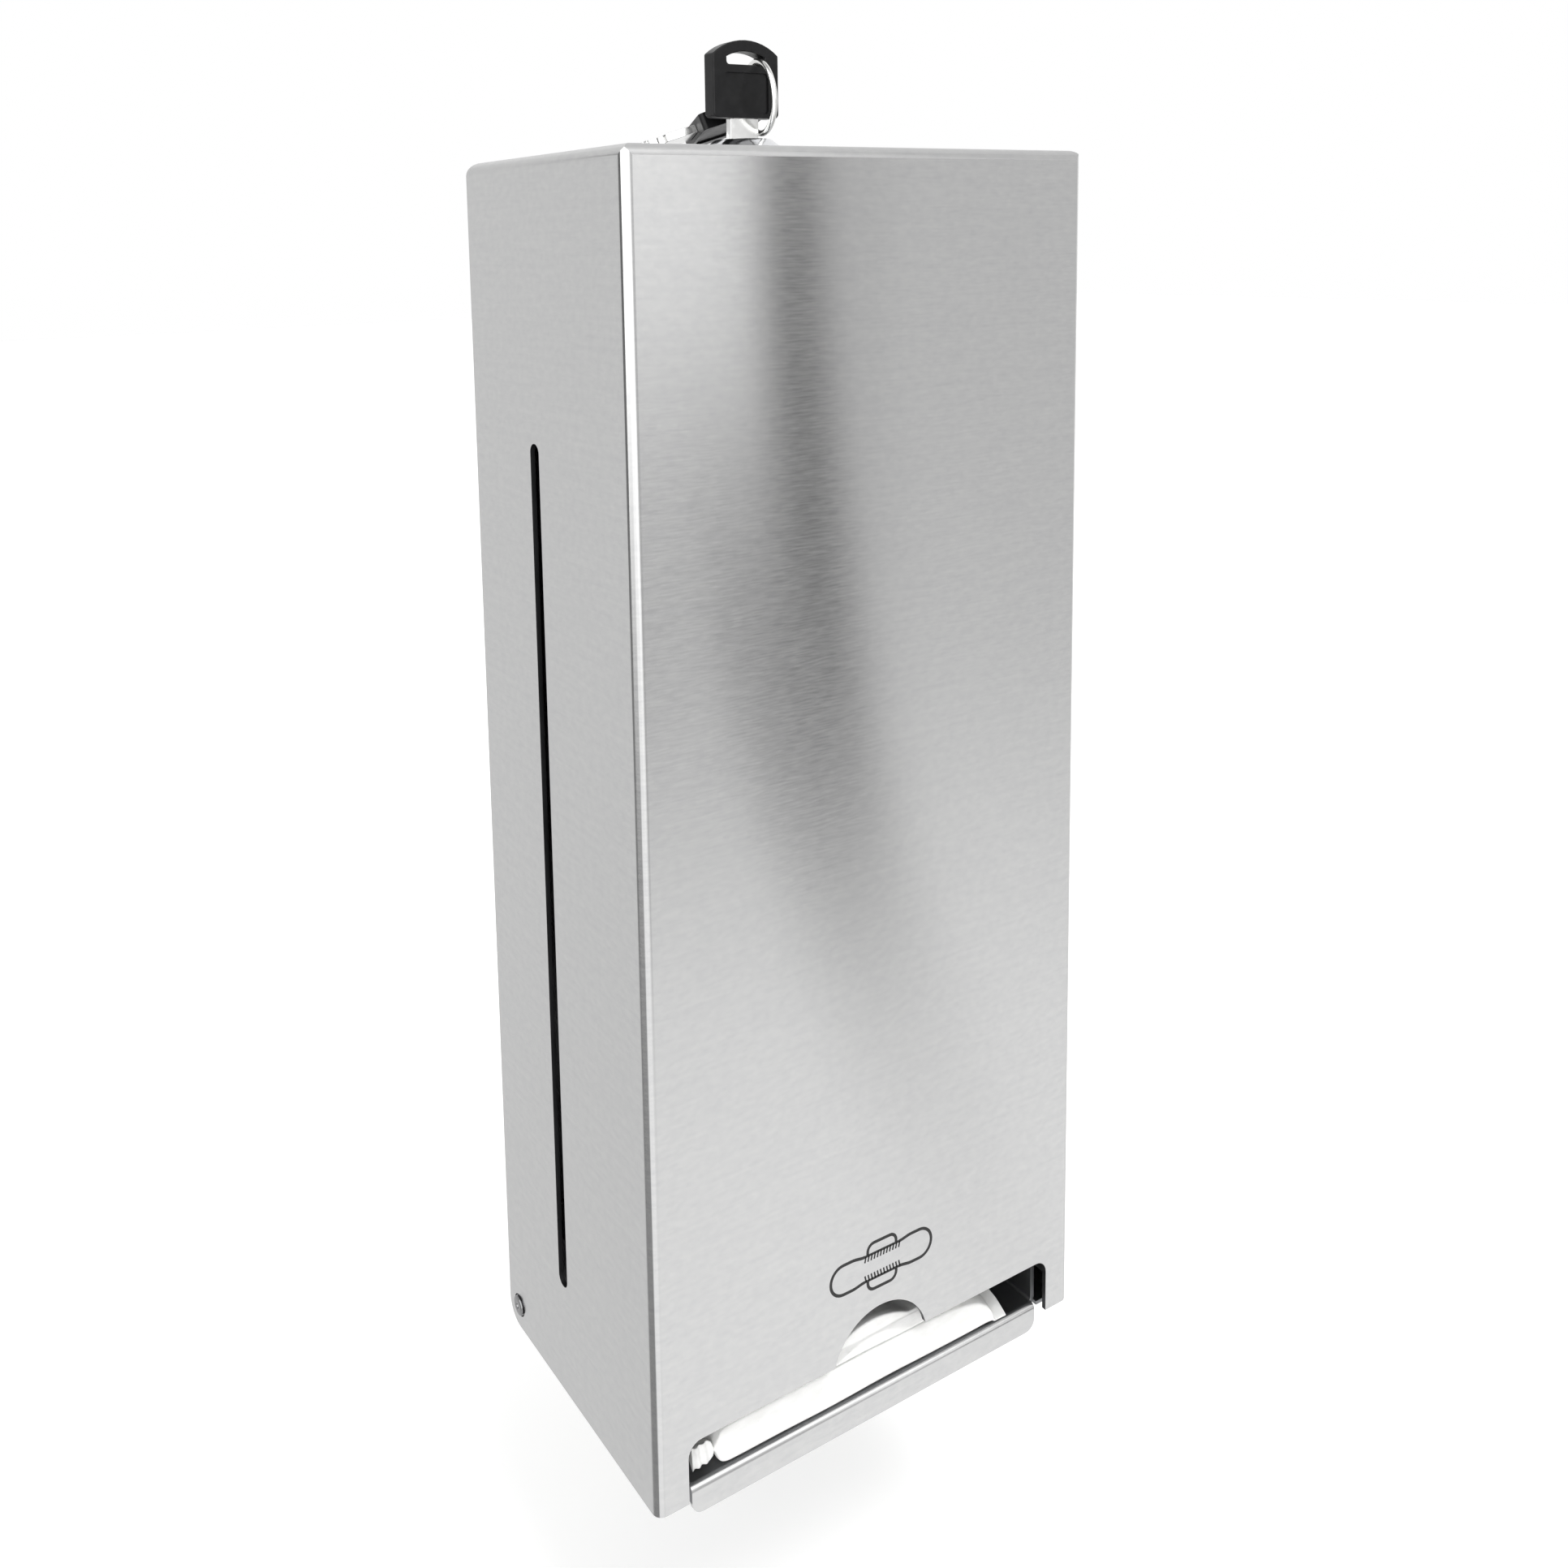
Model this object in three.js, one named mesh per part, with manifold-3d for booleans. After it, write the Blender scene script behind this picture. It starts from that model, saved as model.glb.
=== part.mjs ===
// Wall-mounted dispenser for wrapped pads: a folded steel cover that tilts on a wall chassis.
// Millimetres, +Z up, +Y towards the wall. Heights are measured from the cover's bottom edge,
// then the whole assembly is lowered so that the origin is the centre of the wall face.

import * as THREE from 'three';
import { mergeVertices } from 'three/addons/utils/BufferGeometryUtils.js';
import Module from 'manifold-3d';

const wasm = await Module();
wasm.setup();

// Cover
const coverWidth = 125;
const coverHeight = 296;
const coverDepth = 75;
const coverWallGap = 1;
const coverSheet = 1.2;
const coverBendRadius = 2.4;
const coverCornerRadius = 3;

// Dispensing opening and finger scallop in the cover's front
const openingLegWidth = 8.2;
const openingHeight = 14.4;
const openingCornerRadius = 3.5;
const scallopRadius = 14.2;
const scallopCentreHeight = 10.8;

// Level slot in the cover's left side
const slotWidth = 4.3;
const slotSetback = 43.2;
const slotBottom = 28.2;
const slotTop = 232.7;

// Hinge pins
const hingeHeight = 6;
const hingeFromWall = 6.6;
const pinRadius = 2.5;
const pinHeadRadius = 4;
const pinHeadThickness = 1.5;
const pinProud = 0.7;
const pinDomeRise = 0.5;
const pinClearance = 0.3;
const pinDomeShare = 0.72;
const pinDomeRimShare = 0.35;

// Wall chassis
const plateSheet = 1.2;
const plateSideClearance = 0.4;
const plateTopClearance = 3;
const plateCornerRadius = 2;
const plateTopFlange = 8;
const plateTopFlangeInset = 10;
const plateTopFlangeBend = 2.4;
const earReach = 13;
const earHeight = 12.5;
const earCornerRadius = 5;
const screwHoleRadius = 2.75;
const screwHoleSpacing = 76;
const screwHoleHeight = 62;
const keyholeHeight = 236;
const keyholeEntryRadius = 4.75;
const keyholeNeckRise = 9;

// Pad tray
const trayOpeningClearance = 0.7;
const trayFloorHeight = 1.3;
const trayWallHeight = 25;
const traySheet = 1.2;
const trayBendRadius = 2;
const traySkirtSetback = 2;
const traySkirtDrop = 7;
const traySkirtInset = 1.2;
const traySkirtBendRadius = 1.5;
const traySkirtCornerRadius = 3;

// Cam lock
const lockFromWall = 25;
const lockBodyRadius = 9.3;
const lockBodyFlats = 16;
const lockBodyReach = 14.7;
const lockFlangeRadius = 10.8;
const lockFlangeRim = 1.4;
const lockFlangeHeight = 4.8;
const lockShoulderRadius = 8.4;
const lockShoulderHeight = 3.7;
const lockHoleClearance = 0.3;
const lockBoreClearance = 0.3;
const lockFaceRadius = 6.9;
const plugRadius = 6;
const plugFaceDrop = 0.3;
const plugTailWidth = 7;
const plugTailLength = 2.2;
const nutAcrossFlats = 24;
const nutThickness = 4;
const nutClearance = 0.3;
const lockWasherRadius = 12.4;
const lockWasherThickness = 0.8;

// Cam and its fixing
const camReach = 20;
const camWidth = 10;
const camThickness = 2;
const camClearance = 0.3;
const camTipRadius = 1.5;
const camHeelRadius = 2;
const camWasherRadius = 5.4;
const camWasherThickness = 0.8;
const camScrewHeadRadius = 3.8;
const camScrewHeadHeight = 2.6;
const camScrewRadius = 1.8;
const camScrewLength = 3.2;
const camScrewSlotWidth = 1;
const camScrewSlotDepth = 1.1;
const camScrewChamfer = 0.8;
const camScrewClearance = 0.3;

// Strike that the cam turns behind
const strikeSheet = 1.5;
const strikeInset = 11;
const strikeWidth = 10;
const strikeCamGap = 0.4;
const strikeArmClearance = 3;
const strikeTabReach = 8;
const strikeFootHeight = 22;
const strikeBendRadius = 2.5;

// Keys
const bladeWidth = 8.1;
const bladeThickness = 2;
const bladeNeck = 5.1;
const bladeInLock = 16.8;
const bladeClearance = 0.3;
const bladeTipChamfer = 1.6;
const bladeTangWidth = 6;
const bladeTangLength = 8;
const bladeTangClearance = 0.1;
const bittingPitch = 2.6;
const bittingDepth = 1.1;
const bittingStart = 2.4;
const bittingDepthShares = [1, 0.55, 0.8, 0.4, 1];
const headWidth = 18.8;
const headSideHeight = 15;
const headArchRise = 3.4;
const headThickness = 4.2;
const headCornerRadius = 1.2;
const headRimThickness = 2.7;
const headSlotWidth = 11;
const headSlotBottom = 12.6;
const headSlotCornerRadius = 0.8;
const headRecessWidth = 12.8;
const headRecessBottom = 1;
const headRecessHeight = 9.7;
const headRecessDepth = 0.5;
const headRecessCornerRadius = 1;

// Key ring
const ringRadius = 8.6;
const ringWireRadius = 0.75;
const ringOffset = 4;
const ringSlotClearance = 0.35;
const ringTurnDegrees = 10;
const ringLeanDegrees = 6.5;

// Spare key on the ring
const spareRingDegrees = 108.1;
const spareSlotShift = 4.25;
const spareTipDegrees = 79.4;
const spareLeanDegrees = 12.5;
const spareTurnDegrees = 83.1;

// Wrapped pad packs
const packLeftClearance = 1.2;
const packRightClearance = 9.6;
const packRearClearance = 8.4;
const packThickness = 9.6;
const packCrimpThickness = 4;
const packCrimpLength = 6;
const packCrimpInset = 2;
const packGap = 0.3;
const packFrontGap = 1.2;
const packCount = 2;
const packStationShares = [0.985, 0.92, 0.78, 0.45];
const packSwellPower = 5;
const packSquareness = 0.42;

// Share of a half width that rounds the end of a slot or bar, just short of a full half circle
const roundEndShare = 0.98;

// Meshing and cuts
const overrun = 1;
const arcSteps = 6;
const roundSteps = 32;
const smallRoundSteps = 24;
const weldTolerance = 0.0005;

// Heights and depths that several pieces share
const frontPlane = -(coverWallGap + coverDepth);
const coverRear = -coverWallGap;
const coverHalf = coverWidth / 2;
const coverInnerHalf = coverHalf - coverSheet;
const coverInnerTop = coverHeight - coverSheet;
const openingHalf = coverHalf - openingLegWidth;
const plateHalf = coverInnerHalf - plateSideClearance;
const plateBottom = trayFloorHeight - traySheet;
const plateTop = coverInnerTop - plateTopClearance;
const trayHalf = openingHalf - trayOpeningClearance;
const trayInnerHalf = trayHalf - traySheet;
const trayWallTop = trayFloorHeight + trayWallHeight;
const skirtFace = frontPlane + traySkirtSetback;
const skirtRear = skirtFace + traySkirtBendRadius;
const lockBodyBottom = coverHeight - lockBodyReach;
const lockFaceHeight = coverHeight + lockFlangeHeight;
const plugFace = lockFaceHeight - plugFaceDrop;
const camTop = lockBodyBottom - camClearance;
const camBottom = camTop - camThickness;
const headBottom = lockFaceHeight + bladeNeck;
const bladeTip = plugFace - bladeInLock;
const packFloor = trayFloorHeight + packGap;
const packFront = frontPlane + coverSheet + packFrontGap;
const packRear = -(plateSheet + traySheet + packRearClearance);
const packLeft = packLeftClearance - trayInnerHalf;
const packRight = trayInnerHalf - packRightClearance;

const material = (colour, roughness, metalness) =>
  new THREE.MeshStandardMaterial({ color: colour, roughness, metalness });

const brushedSteel = material(0xc9c9c9, 0.36, 1);
const mattSteel = material(0xb4b5b6, 0.45, 1);
const chromePlate = material(0xdcdde0, 0.14, 1);
const blackMoulding = material(0x1b1b1d, 0.42, 0);
const whiteFilm = material(0xf4f4f2, 0.38, 0);

// Outline of straight runs with rounded corners, each corner given as [x, y, radius]
function roundedOutline(corners) {
  const points = [];
  corners.forEach(([x, y, radius], index) => {
    const corner = new THREE.Vector2(x, y);
    if (!radius) {
      points.push(corner);
      return;
    }
    const before = corners[(index + corners.length - 1) % corners.length];
    const after = corners[(index + 1) % corners.length];
    const toBefore = new THREE.Vector2(before[0], before[1]).sub(corner).normalize();
    const toAfter = new THREE.Vector2(after[0], after[1]).sub(corner).normalize();
    const halfAngle = Math.acos(toBefore.dot(toAfter)) / 2;
    const bisector = toBefore.clone().add(toAfter).normalize();
    const centre = corner.clone().addScaledVector(bisector, radius / Math.sin(halfAngle));
    const tangent = radius / Math.tan(halfAngle);
    const start = corner.clone().addScaledVector(toBefore, tangent).sub(centre);
    const end = corner.clone().addScaledVector(toAfter, tangent).sub(centre);
    const sweep = Math.atan2(start.cross(end), start.dot(end));
    for (let step = 0; step <= arcSteps; step += 1) {
      const turned = start.clone().rotateAround(new THREE.Vector2(), (sweep * step) / arcSteps);
      points.push(turned.add(centre));
    }
  });
  return points;
}

// Rectangle outline with radii for its corners: low left, low right, high right, high left
function boxOutline(left, right, bottom, top, radii = [0, 0, 0, 0]) {
  return roundedOutline([
    [left, bottom, radii[0]],
    [right, bottom, radii[1]],
    [right, top, radii[2]],
    [left, top, radii[3]],
  ]);
}

function circleOutline(x, y, radius, steps = roundSteps) {
  return Array.from({ length: steps }, (_, index) => {
    const angle = (2 * Math.PI * (index + 0.5)) / steps;
    return new THREE.Vector2(x + radius * Math.cos(angle), y + radius * Math.sin(angle));
  });
}

function extrude(outline, length, holes = []) {
  const shape = new THREE.Shape(outline);
  holes.forEach((hole) => shape.holes.push(new THREE.Path(hole)));
  return new THREE.ExtrudeGeometry(shape, { depth: length, bevelEnabled: false });
}

// Prisms along each axis, from an outline in (y, z), (x, z) or (x, y)
function prismX(outline, low, high, holes) {
  const swap = new THREE.Matrix4().set(0, 0, 1, low, 1, 0, 0, 0, 0, 1, 0, 0, 0, 0, 0, 1);
  return extrude(outline, high - low, holes).applyMatrix4(swap);
}

function prismY(outline, low, high, holes) {
  const swap = new THREE.Matrix4().set(1, 0, 0, 0, 0, 0, -1, high, 0, 1, 0, 0, 0, 0, 0, 1);
  return extrude(outline, high - low, holes).applyMatrix4(swap);
}

function prismZ(outline, low, high, holes) {
  return extrude(outline, high - low, holes).translate(0, 0, low);
}

// Solid of revolution about +Z from [radius, height] points
function turned(profile, steps = roundSteps) {
  const points = profile.map(([radius, height]) => new THREE.Vector2(radius, height));
  return new THREE.LatheGeometry(points, steps).rotateX(Math.PI / 2);
}

function solidOf(geometry) {
  const bare = geometry.clone();
  bare.deleteAttribute('normal');
  bare.deleteAttribute('uv');
  const merged = mergeVertices(bare, weldTolerance);
  return new wasm.Manifold(new wasm.Mesh({
    numProp: 3,
    vertProperties: Float32Array.from(merged.attributes.position.array),
    triVerts: Uint32Array.from(merged.index.array),
  }));
}

function geometryOf(solid) {
  const mesh = solid.getMesh();
  const geometry = new THREE.BufferGeometry();
  geometry.setAttribute('position', new THREE.BufferAttribute(mesh.vertProperties, 3));
  geometry.setIndex(new THREE.BufferAttribute(mesh.triVerts, 1));
  geometry.computeVertexNormals();
  return geometry;
}

function shaped({ join = [], common = [], cut = [] }) {
  let solid = solidOf(join[0]);
  join.slice(1).forEach((geometry) => {
    solid = solid.add(solidOf(geometry));
  });
  common.forEach((geometry) => {
    solid = solid.intersect(solidOf(geometry));
  });
  cut.forEach((geometry) => {
    solid = solid.subtract(solidOf(geometry));
  });
  return geometryOf(solid);
}

function piece(name, geometry, finish) {
  const mesh = new THREE.Mesh(geometry, finish);
  mesh.name = name;
  return mesh;
}

// Body of the cover: three prisms whose common part has rounded edges on front, top and sides
function coverBody(wall, rear, bottom) {
  const half = coverHalf - wall;
  const front = frontPlane + wall;
  const top = coverHeight - wall;
  const bend = coverBendRadius - wall;
  const corner = coverCornerRadius - wall;
  const rearTop = wall ? 0 : coverCornerRadius;
  const rearBottom = wall ? 0 : hingeFromWall - coverWallGap;
  const plan = boxOutline(-half, half, front, rear, [bend, bend, 0, 0]);
  const side = boxOutline(front, rear, bottom, top, [0, rearBottom, rearTop, bend]);
  const face = boxOutline(-half, half, bottom, top, [0, 0, corner, corner]);
  return {
    join: [prismZ(plan, bottom, top)],
    common: [prismX(side, -half, half), prismY(face, front, rear)],
  };
}

function coverShell() {
  const outer = coverBody(0, coverRear, 0);
  const inner = shaped(coverBody(coverSheet, overrun, -overrun));
  const corner = openingCornerRadius;
  const opening = boxOutline(-openingHalf, openingHalf, -overrun, openingHeight, [0, 0, corner, corner]);
  const scallop = circleOutline(0, scallopCentreHeight, scallopRadius, roundSteps * 2);
  const slotMiddle = frontPlane + slotSetback;
  const slotHalf = slotWidth / 2;
  const slotEnds = Array(4).fill(slotHalf * roundEndShare);
  const slot = boxOutline(slotMiddle - slotHalf, slotMiddle + slotHalf, slotBottom, slotTop, slotEnds);
  const sheetFront = [frontPlane - overrun, frontPlane + coverSheet + overrun];
  return shaped({
    ...outer,
    cut: [
      inner,
      prismY(opening, ...sheetFront),
      prismY(scallop, ...sheetFront),
      prismX(slot, -coverHalf - overrun, -coverInnerHalf + overrun),
      prismX(hingeHoleOutline(), -coverHalf - overrun, coverHalf + overrun),
      prismZ(lockHoleOutline(), coverInnerTop - overrun, coverHeight + overrun),
    ],
  });
}

const hingeHoleOutline = () =>
  circleOutline(-hingeFromWall, hingeHeight, pinRadius + pinClearance, smallRoundSteps);

// Round lock body with two flats, as an outline grown by a clearance
function lockOutline(clearance) {
  const flat = lockBodyFlats / 2 + clearance;
  return circleOutline(0, -lockFromWall, lockBodyRadius + clearance).map(
    (point) => new THREE.Vector2(THREE.MathUtils.clamp(point.x, -flat, flat), point.y),
  );
}

const lockHoleOutline = () => lockOutline(lockHoleClearance);

function keyholeOutline(x) {
  const entry = circleOutline(x, keyholeHeight, keyholeEntryRadius, smallRoundSteps);
  const neckTop = keyholeHeight + keyholeNeckRise;
  const round = screwHoleRadius * roundEndShare;
  const neck = boxOutline(x - screwHoleRadius, x + screwHoleRadius, keyholeHeight, neckTop,
    [0, 0, round, round]);
  return [entry, neck];
}

function backPlate() {
  const corners = Array(4).fill(plateCornerRadius);
  const flangeBend = plateTopFlangeBend;
  const panel = boxOutline(-plateHalf, plateHalf, plateBottom, plateTop - flangeBend, corners);
  const flange = roundedOutline([
    [-plateTopFlange, plateTop - plateSheet, 0],
    [-plateSheet, plateTop - plateSheet, flangeBend - plateSheet],
    [-plateSheet, plateTop - plateTopFlange, 0],
    [0, plateTop - plateTopFlange, 0],
    [0, plateTop, flangeBend],
    [-plateTopFlange, plateTop, 0],
  ]);
  const flangeHalf = plateHalf - plateTopFlangeInset;
  const earTop = plateBottom + earHeight;
  const ear = boxOutline(-earReach, 0, plateBottom, earTop, [earCornerRadius, 0, 0, earCornerRadius]);
  const earInner = plateHalf - plateSheet;
  const through = [-plateSheet - overrun, overrun];
  const holes = [-screwHoleSpacing / 2, screwHoleSpacing / 2].flatMap((x) => [
    circleOutline(x, screwHoleHeight, screwHoleRadius, smallRoundSteps),
    ...keyholeOutline(x),
  ]);
  return shaped({
    join: [
      prismY(panel, -plateSheet, 0),
      prismX(ear, -plateHalf, -earInner),
      prismX(ear, earInner, plateHalf),
      prismX(flange, -flangeHalf, flangeHalf),
    ],
    cut: [
      prismX(hingeHoleOutline(), -plateHalf - overrun, plateHalf + overrun),
      ...holes.map((hole) => prismY(hole, ...through)),
    ],
  });
}

function padTray() {
  const bend = trayBendRadius;
  const inner = trayInnerHalf;
  const innerBend = bend - traySheet;
  const channel = roundedOutline([
    [-trayHalf, trayWallTop, 0],
    [-trayHalf, plateBottom, bend],
    [trayHalf, plateBottom, bend],
    [trayHalf, trayWallTop, 0],
    [inner, trayWallTop, 0],
    [inner, trayFloorHeight, innerBend],
    [-inner, trayFloorHeight, innerBend],
    [-inner, trayWallTop, 0],
  ]);
  const rearFace = -plateSheet;
  const rear = boxOutline(-trayHalf, trayHalf, plateBottom, trayWallTop, [bend, bend, 0, 0]);
  const skirtBottom = trayFloorHeight - traySkirtDrop;
  const skirt = roundedOutline([
    [skirtRear + overrun, trayFloorHeight, 0],
    [skirtFace, trayFloorHeight, traySkirtBendRadius],
    [skirtFace, skirtBottom, 0],
    [skirtFace + traySheet, skirtBottom, 0],
    [skirtFace + traySheet, plateBottom, traySkirtBendRadius - traySheet],
    [skirtRear + overrun, plateBottom, 0],
  ]);
  const skirtHalf = trayHalf - traySkirtInset;
  const corner = traySkirtCornerRadius;
  const skirtFaceOutline = boxOutline(-skirtHalf, skirtHalf, skirtBottom, trayFloorHeight,
    [corner, corner, 0, 0]);
  const roundedSkirt = shaped({
    join: [prismX(skirt, -skirtHalf, skirtHalf)],
    common: [prismY(skirtFaceOutline, skirtFace, skirtRear + overrun)],
  });
  return shaped({
    join: [
      prismY(channel, skirtRear, rearFace),
      prismY(rear, rearFace - traySheet, rearFace),
      roundedSkirt,
    ],
  });
}

function strike() {
  const rear = -plateSheet;
  const armBottom = camTop + strikeArmClearance;
  const armTop = armBottom + strikeSheet;
  const tabRear = -(lockFromWall + camWidth / 2 + strikeCamGap);
  const tabFront = tabRear - strikeSheet;
  const tabBottom = camBottom - strikeTabReach;
  const footBottom = armTop - strikeFootHeight;
  const outer = strikeBendRadius;
  const inner = strikeBendRadius - strikeSheet;
  const outline = roundedOutline([
    [rear - strikeSheet, footBottom, 0],
    [rear, footBottom, 0],
    [rear, armTop, outer],
    [tabFront, armTop, outer],
    [tabFront, tabBottom, 0],
    [tabRear, tabBottom, 0],
    [tabRear, armBottom, inner],
    [rear - strikeSheet, armBottom, inner],
  ]);
  return prismX(outline, strikeInset, strikeInset + strikeWidth);
}

// Pin with a flat head inside the ear and a domed end outside the cover, along +X
function hingePin() {
  const length = pinHeadThickness + plateSheet + plateSideClearance + coverSheet + pinProud;
  return turned([
    [0, 0],
    [pinHeadRadius, 0],
    [pinHeadRadius, pinHeadThickness],
    [pinRadius, pinHeadThickness],
    [pinRadius, length - pinDomeRise],
    [pinRadius * pinDomeShare, length - pinDomeRise * pinDomeRimShare],
    [0, length],
  ], smallRoundSteps);
}

function lockHousing() {
  const bore = plugRadius + lockBoreClearance;
  const barrel = turned([
    [bore, lockBodyBottom],
    [lockBodyRadius, lockBodyBottom],
    [lockBodyRadius, coverHeight],
    [lockFlangeRadius, coverHeight],
    [lockFlangeRadius, coverHeight + lockFlangeRim],
    [lockShoulderRadius, coverHeight + lockShoulderHeight],
    [lockFaceRadius, lockFaceHeight],
    [bore, lockFaceHeight],
    [bore, lockBodyBottom],
  ]).translate(0, -lockFromWall, 0);
  const flats = [-1, 1].map((side) => {
    const near = (lockBodyFlats / 2) * side;
    const far = (lockBodyRadius + overrun) * side;
    const outline = boxOutline(Math.min(near, far), Math.max(near, far),
      -lockFromWall - lockBodyRadius - overrun, -lockFromWall + lockBodyRadius + overrun);
    return prismZ(outline, lockBodyBottom - overrun, coverHeight);
  });
  return shaped({ join: [barrel], cut: flats });
}

function lockNut() {
  const corner = nutAcrossFlats / Math.sqrt(3);
  const hexagon = Array.from({ length: 6 }, (_, index) => {
    const angle = (Math.PI / 3) * index;
    return new THREE.Vector2(corner * Math.cos(angle), corner * Math.sin(angle) - lockFromWall);
  });
  const top = coverInnerTop - lockWasherThickness;
  const hole = circleOutline(0, -lockFromWall, lockBodyRadius + nutClearance);
  return prismZ(hexagon, top - nutThickness, top, [hole]);
}

function lockWasher() {
  const rim = circleOutline(0, -lockFromWall, lockWasherRadius);
  const hole = circleOutline(0, -lockFromWall, lockBodyRadius + nutClearance);
  return prismZ(rim, coverInnerTop - lockWasherThickness, coverInnerTop, [hole]);
}

function centredBox(width, depth) {
  return boxOutline(-width / 2, width / 2, -lockFromWall - depth / 2, -lockFromWall + depth / 2);
}

const camScrewHoleOutline = () =>
  circleOutline(0, -lockFromWall, camScrewRadius + camScrewClearance, smallRoundSteps);

function lockPlug() {
  const tailBottom = lockBodyBottom - plugTailLength;
  const barrel = prismZ(circleOutline(0, -lockFromWall, plugRadius), lockBodyBottom, plugFace);
  const tail = prismZ(centredBox(plugTailWidth, plugTailWidth), tailBottom, lockBodyBottom + overrun);
  const keyway = centredBox(bladeWidth + bladeClearance * 2, bladeThickness + bladeClearance * 2);
  const screwTop = camBottom + camScrewLength + camScrewClearance;
  return shaped({
    join: [barrel, tail],
    cut: [
      prismZ(keyway, bladeTip - bladeClearance, plugFace + overrun),
      prismZ(camScrewHoleOutline(), tailBottom - overrun, screwTop),
    ],
  });
}

// Cam bar that points at the wall when the lock is open
function lockCam() {
  const half = camWidth / 2;
  const bar = boxOutline(-half, half, -lockFromWall - half, -lockFromWall + camReach,
    [camHeelRadius, camHeelRadius, camTipRadius, camTipRadius]);
  const hole = centredBox(plugTailWidth + camClearance * 2, plugTailWidth + camClearance * 2);
  return prismZ(bar, camBottom, camTop, [hole]);
}

function camWasher() {
  const rim = circleOutline(0, -lockFromWall, camWasherRadius, smallRoundSteps);
  return prismZ(rim, camBottom - camWasherThickness, camBottom, [camScrewHoleOutline()]);
}

function camScrew() {
  const headTop = camBottom - camWasherThickness;
  const headBottomHeight = headTop - camScrewHeadHeight;
  const body = turned([
    [0, headBottomHeight],
    [camScrewHeadRadius - camScrewChamfer, headBottomHeight],
    [camScrewHeadRadius, headBottomHeight + camScrewChamfer],
    [camScrewHeadRadius, headTop],
    [camScrewRadius, headTop],
    [camScrewRadius, camBottom + camScrewLength],
    [0, camBottom + camScrewLength],
  ], smallRoundSteps).translate(0, -lockFromWall, 0);
  const slot = centredBox(camScrewSlotWidth, (camScrewHeadRadius + overrun) * 2);
  return shaped({
    join: [body],
    cut: [prismZ(slot, headBottomHeight - overrun, headBottomHeight + camScrewSlotDepth)],
  });
}

// Flat key blade with wafer cuts in both edges and a tang that the head is moulded round
function keyBlade() {
  const half = bladeWidth / 2;
  const tangHalf = bladeTangWidth / 2;
  const edge = (side, shares) => shares.flatMap((share, index) => {
    const height = bladeTip + bittingStart + bittingPitch * index;
    const depth = (half - bittingDepth * share) * side;
    return [
      [half * side, height - bittingPitch / 2],
      [depth, height - bittingPitch / 4],
      [depth, height + bittingPitch / 4],
    ];
  });
  const right = edge(1, bittingDepthShares);
  const left = edge(-1, [...bittingDepthShares].reverse());
  const lastCut = bladeTip + bittingStart + bittingPitch * (bittingDepthShares.length - 1 / 2);
  const outline = [
    [-half + bladeTipChamfer, bladeTip],
    [half - bladeTipChamfer, bladeTip],
    ...right,
    [half, lastCut],
    [half, headBottom],
    [tangHalf, headBottom],
    [tangHalf, headBottom + bladeTangLength],
    [-tangHalf, headBottom + bladeTangLength],
    [-tangHalf, headBottom],
    [-half, headBottom],
    [-half, lastCut],
    ...left.reverse(),
  ].map(([x, z]) => new THREE.Vector2(x, z));
  return prismY(outline, -lockFromWall - bladeThickness / 2, -lockFromWall + bladeThickness / 2);
}

// Arch over a key head or its slot: an arc about one centre, from right to left
function archPoints(halfWidth, radius, centreHeight) {
  const reach = Math.asin(halfWidth / radius);
  return Array.from({ length: arcSteps * 2 + 1 }, (_, index) => {
    const angle = reach - (index * reach) / arcSteps;
    return new THREE.Vector2(radius * Math.sin(angle), centreHeight + radius * Math.cos(angle));
  });
}

function keyHead() {
  const half = headWidth / 2;
  const archRadius = (half * half + headArchRise * headArchRise) / (headArchRise * 2);
  const archCentre = headBottom + headSideHeight + headArchRise - archRadius;
  const foot = boxOutline(-half, half, headBottom, headBottom + headSideHeight,
    [headCornerRadius, headCornerRadius, 0, 0]);
  const outline = [
    ...foot.slice(0, -2),
    ...archPoints(half, archRadius, archCentre),
  ];
  const slotHalf = headSlotWidth / 2;
  const slotFloor = headBottom + headSlotBottom;
  const slotFoot = boxOutline(-slotHalf, slotHalf, slotFloor, slotFloor + headSlotCornerRadius,
    [headSlotCornerRadius, headSlotCornerRadius, 0, 0]);
  const slot = [
    ...slotFoot.slice(0, -2),
    ...archPoints(slotHalf, archRadius - headRimThickness, archCentre),
  ];
  const recessHalf = headRecessWidth / 2;
  const recessFoot = headBottom + headRecessBottom;
  const recess = boxOutline(-recessHalf, recessHalf, recessFoot, recessFoot + headRecessHeight,
    Array(4).fill(headRecessCornerRadius));
  const tangHalf = bladeTangWidth / 2 + bladeTangClearance;
  const pocketHalf = bladeThickness / 2 + bladeTangClearance;
  const pocketTop = headBottom + bladeTangLength + bladeTangClearance;
  const pocket = boxOutline(-tangHalf, tangHalf, headBottom - overrun, pocketTop);
  const front = -lockFromWall - headThickness / 2;
  const rear = -lockFromWall + headThickness / 2;
  return shaped({
    join: [prismY(outline, front, rear, [slot])],
    cut: [
      prismY(recess, front - overrun, front + headRecessDepth),
      prismY(recess, rear - headRecessDepth, rear + overrun),
      prismY(pocket, -lockFromWall - pocketHalf, -lockFromWall + pocketHalf),
    ],
  });
}

// Key ring about the X axis, hanging from the origin by the middle of its wire
function keyRing() {
  const wire = circleOutline(ringRadius, 0, ringWireRadius, arcSteps * 2);
  const closed = [...wire, wire[0]].map((point) => [point.x, point.y]);
  return turned(closed, roundSteps + arcSteps).rotateY(Math.PI / 2).translate(0, 0, -ringRadius);
}

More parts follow.
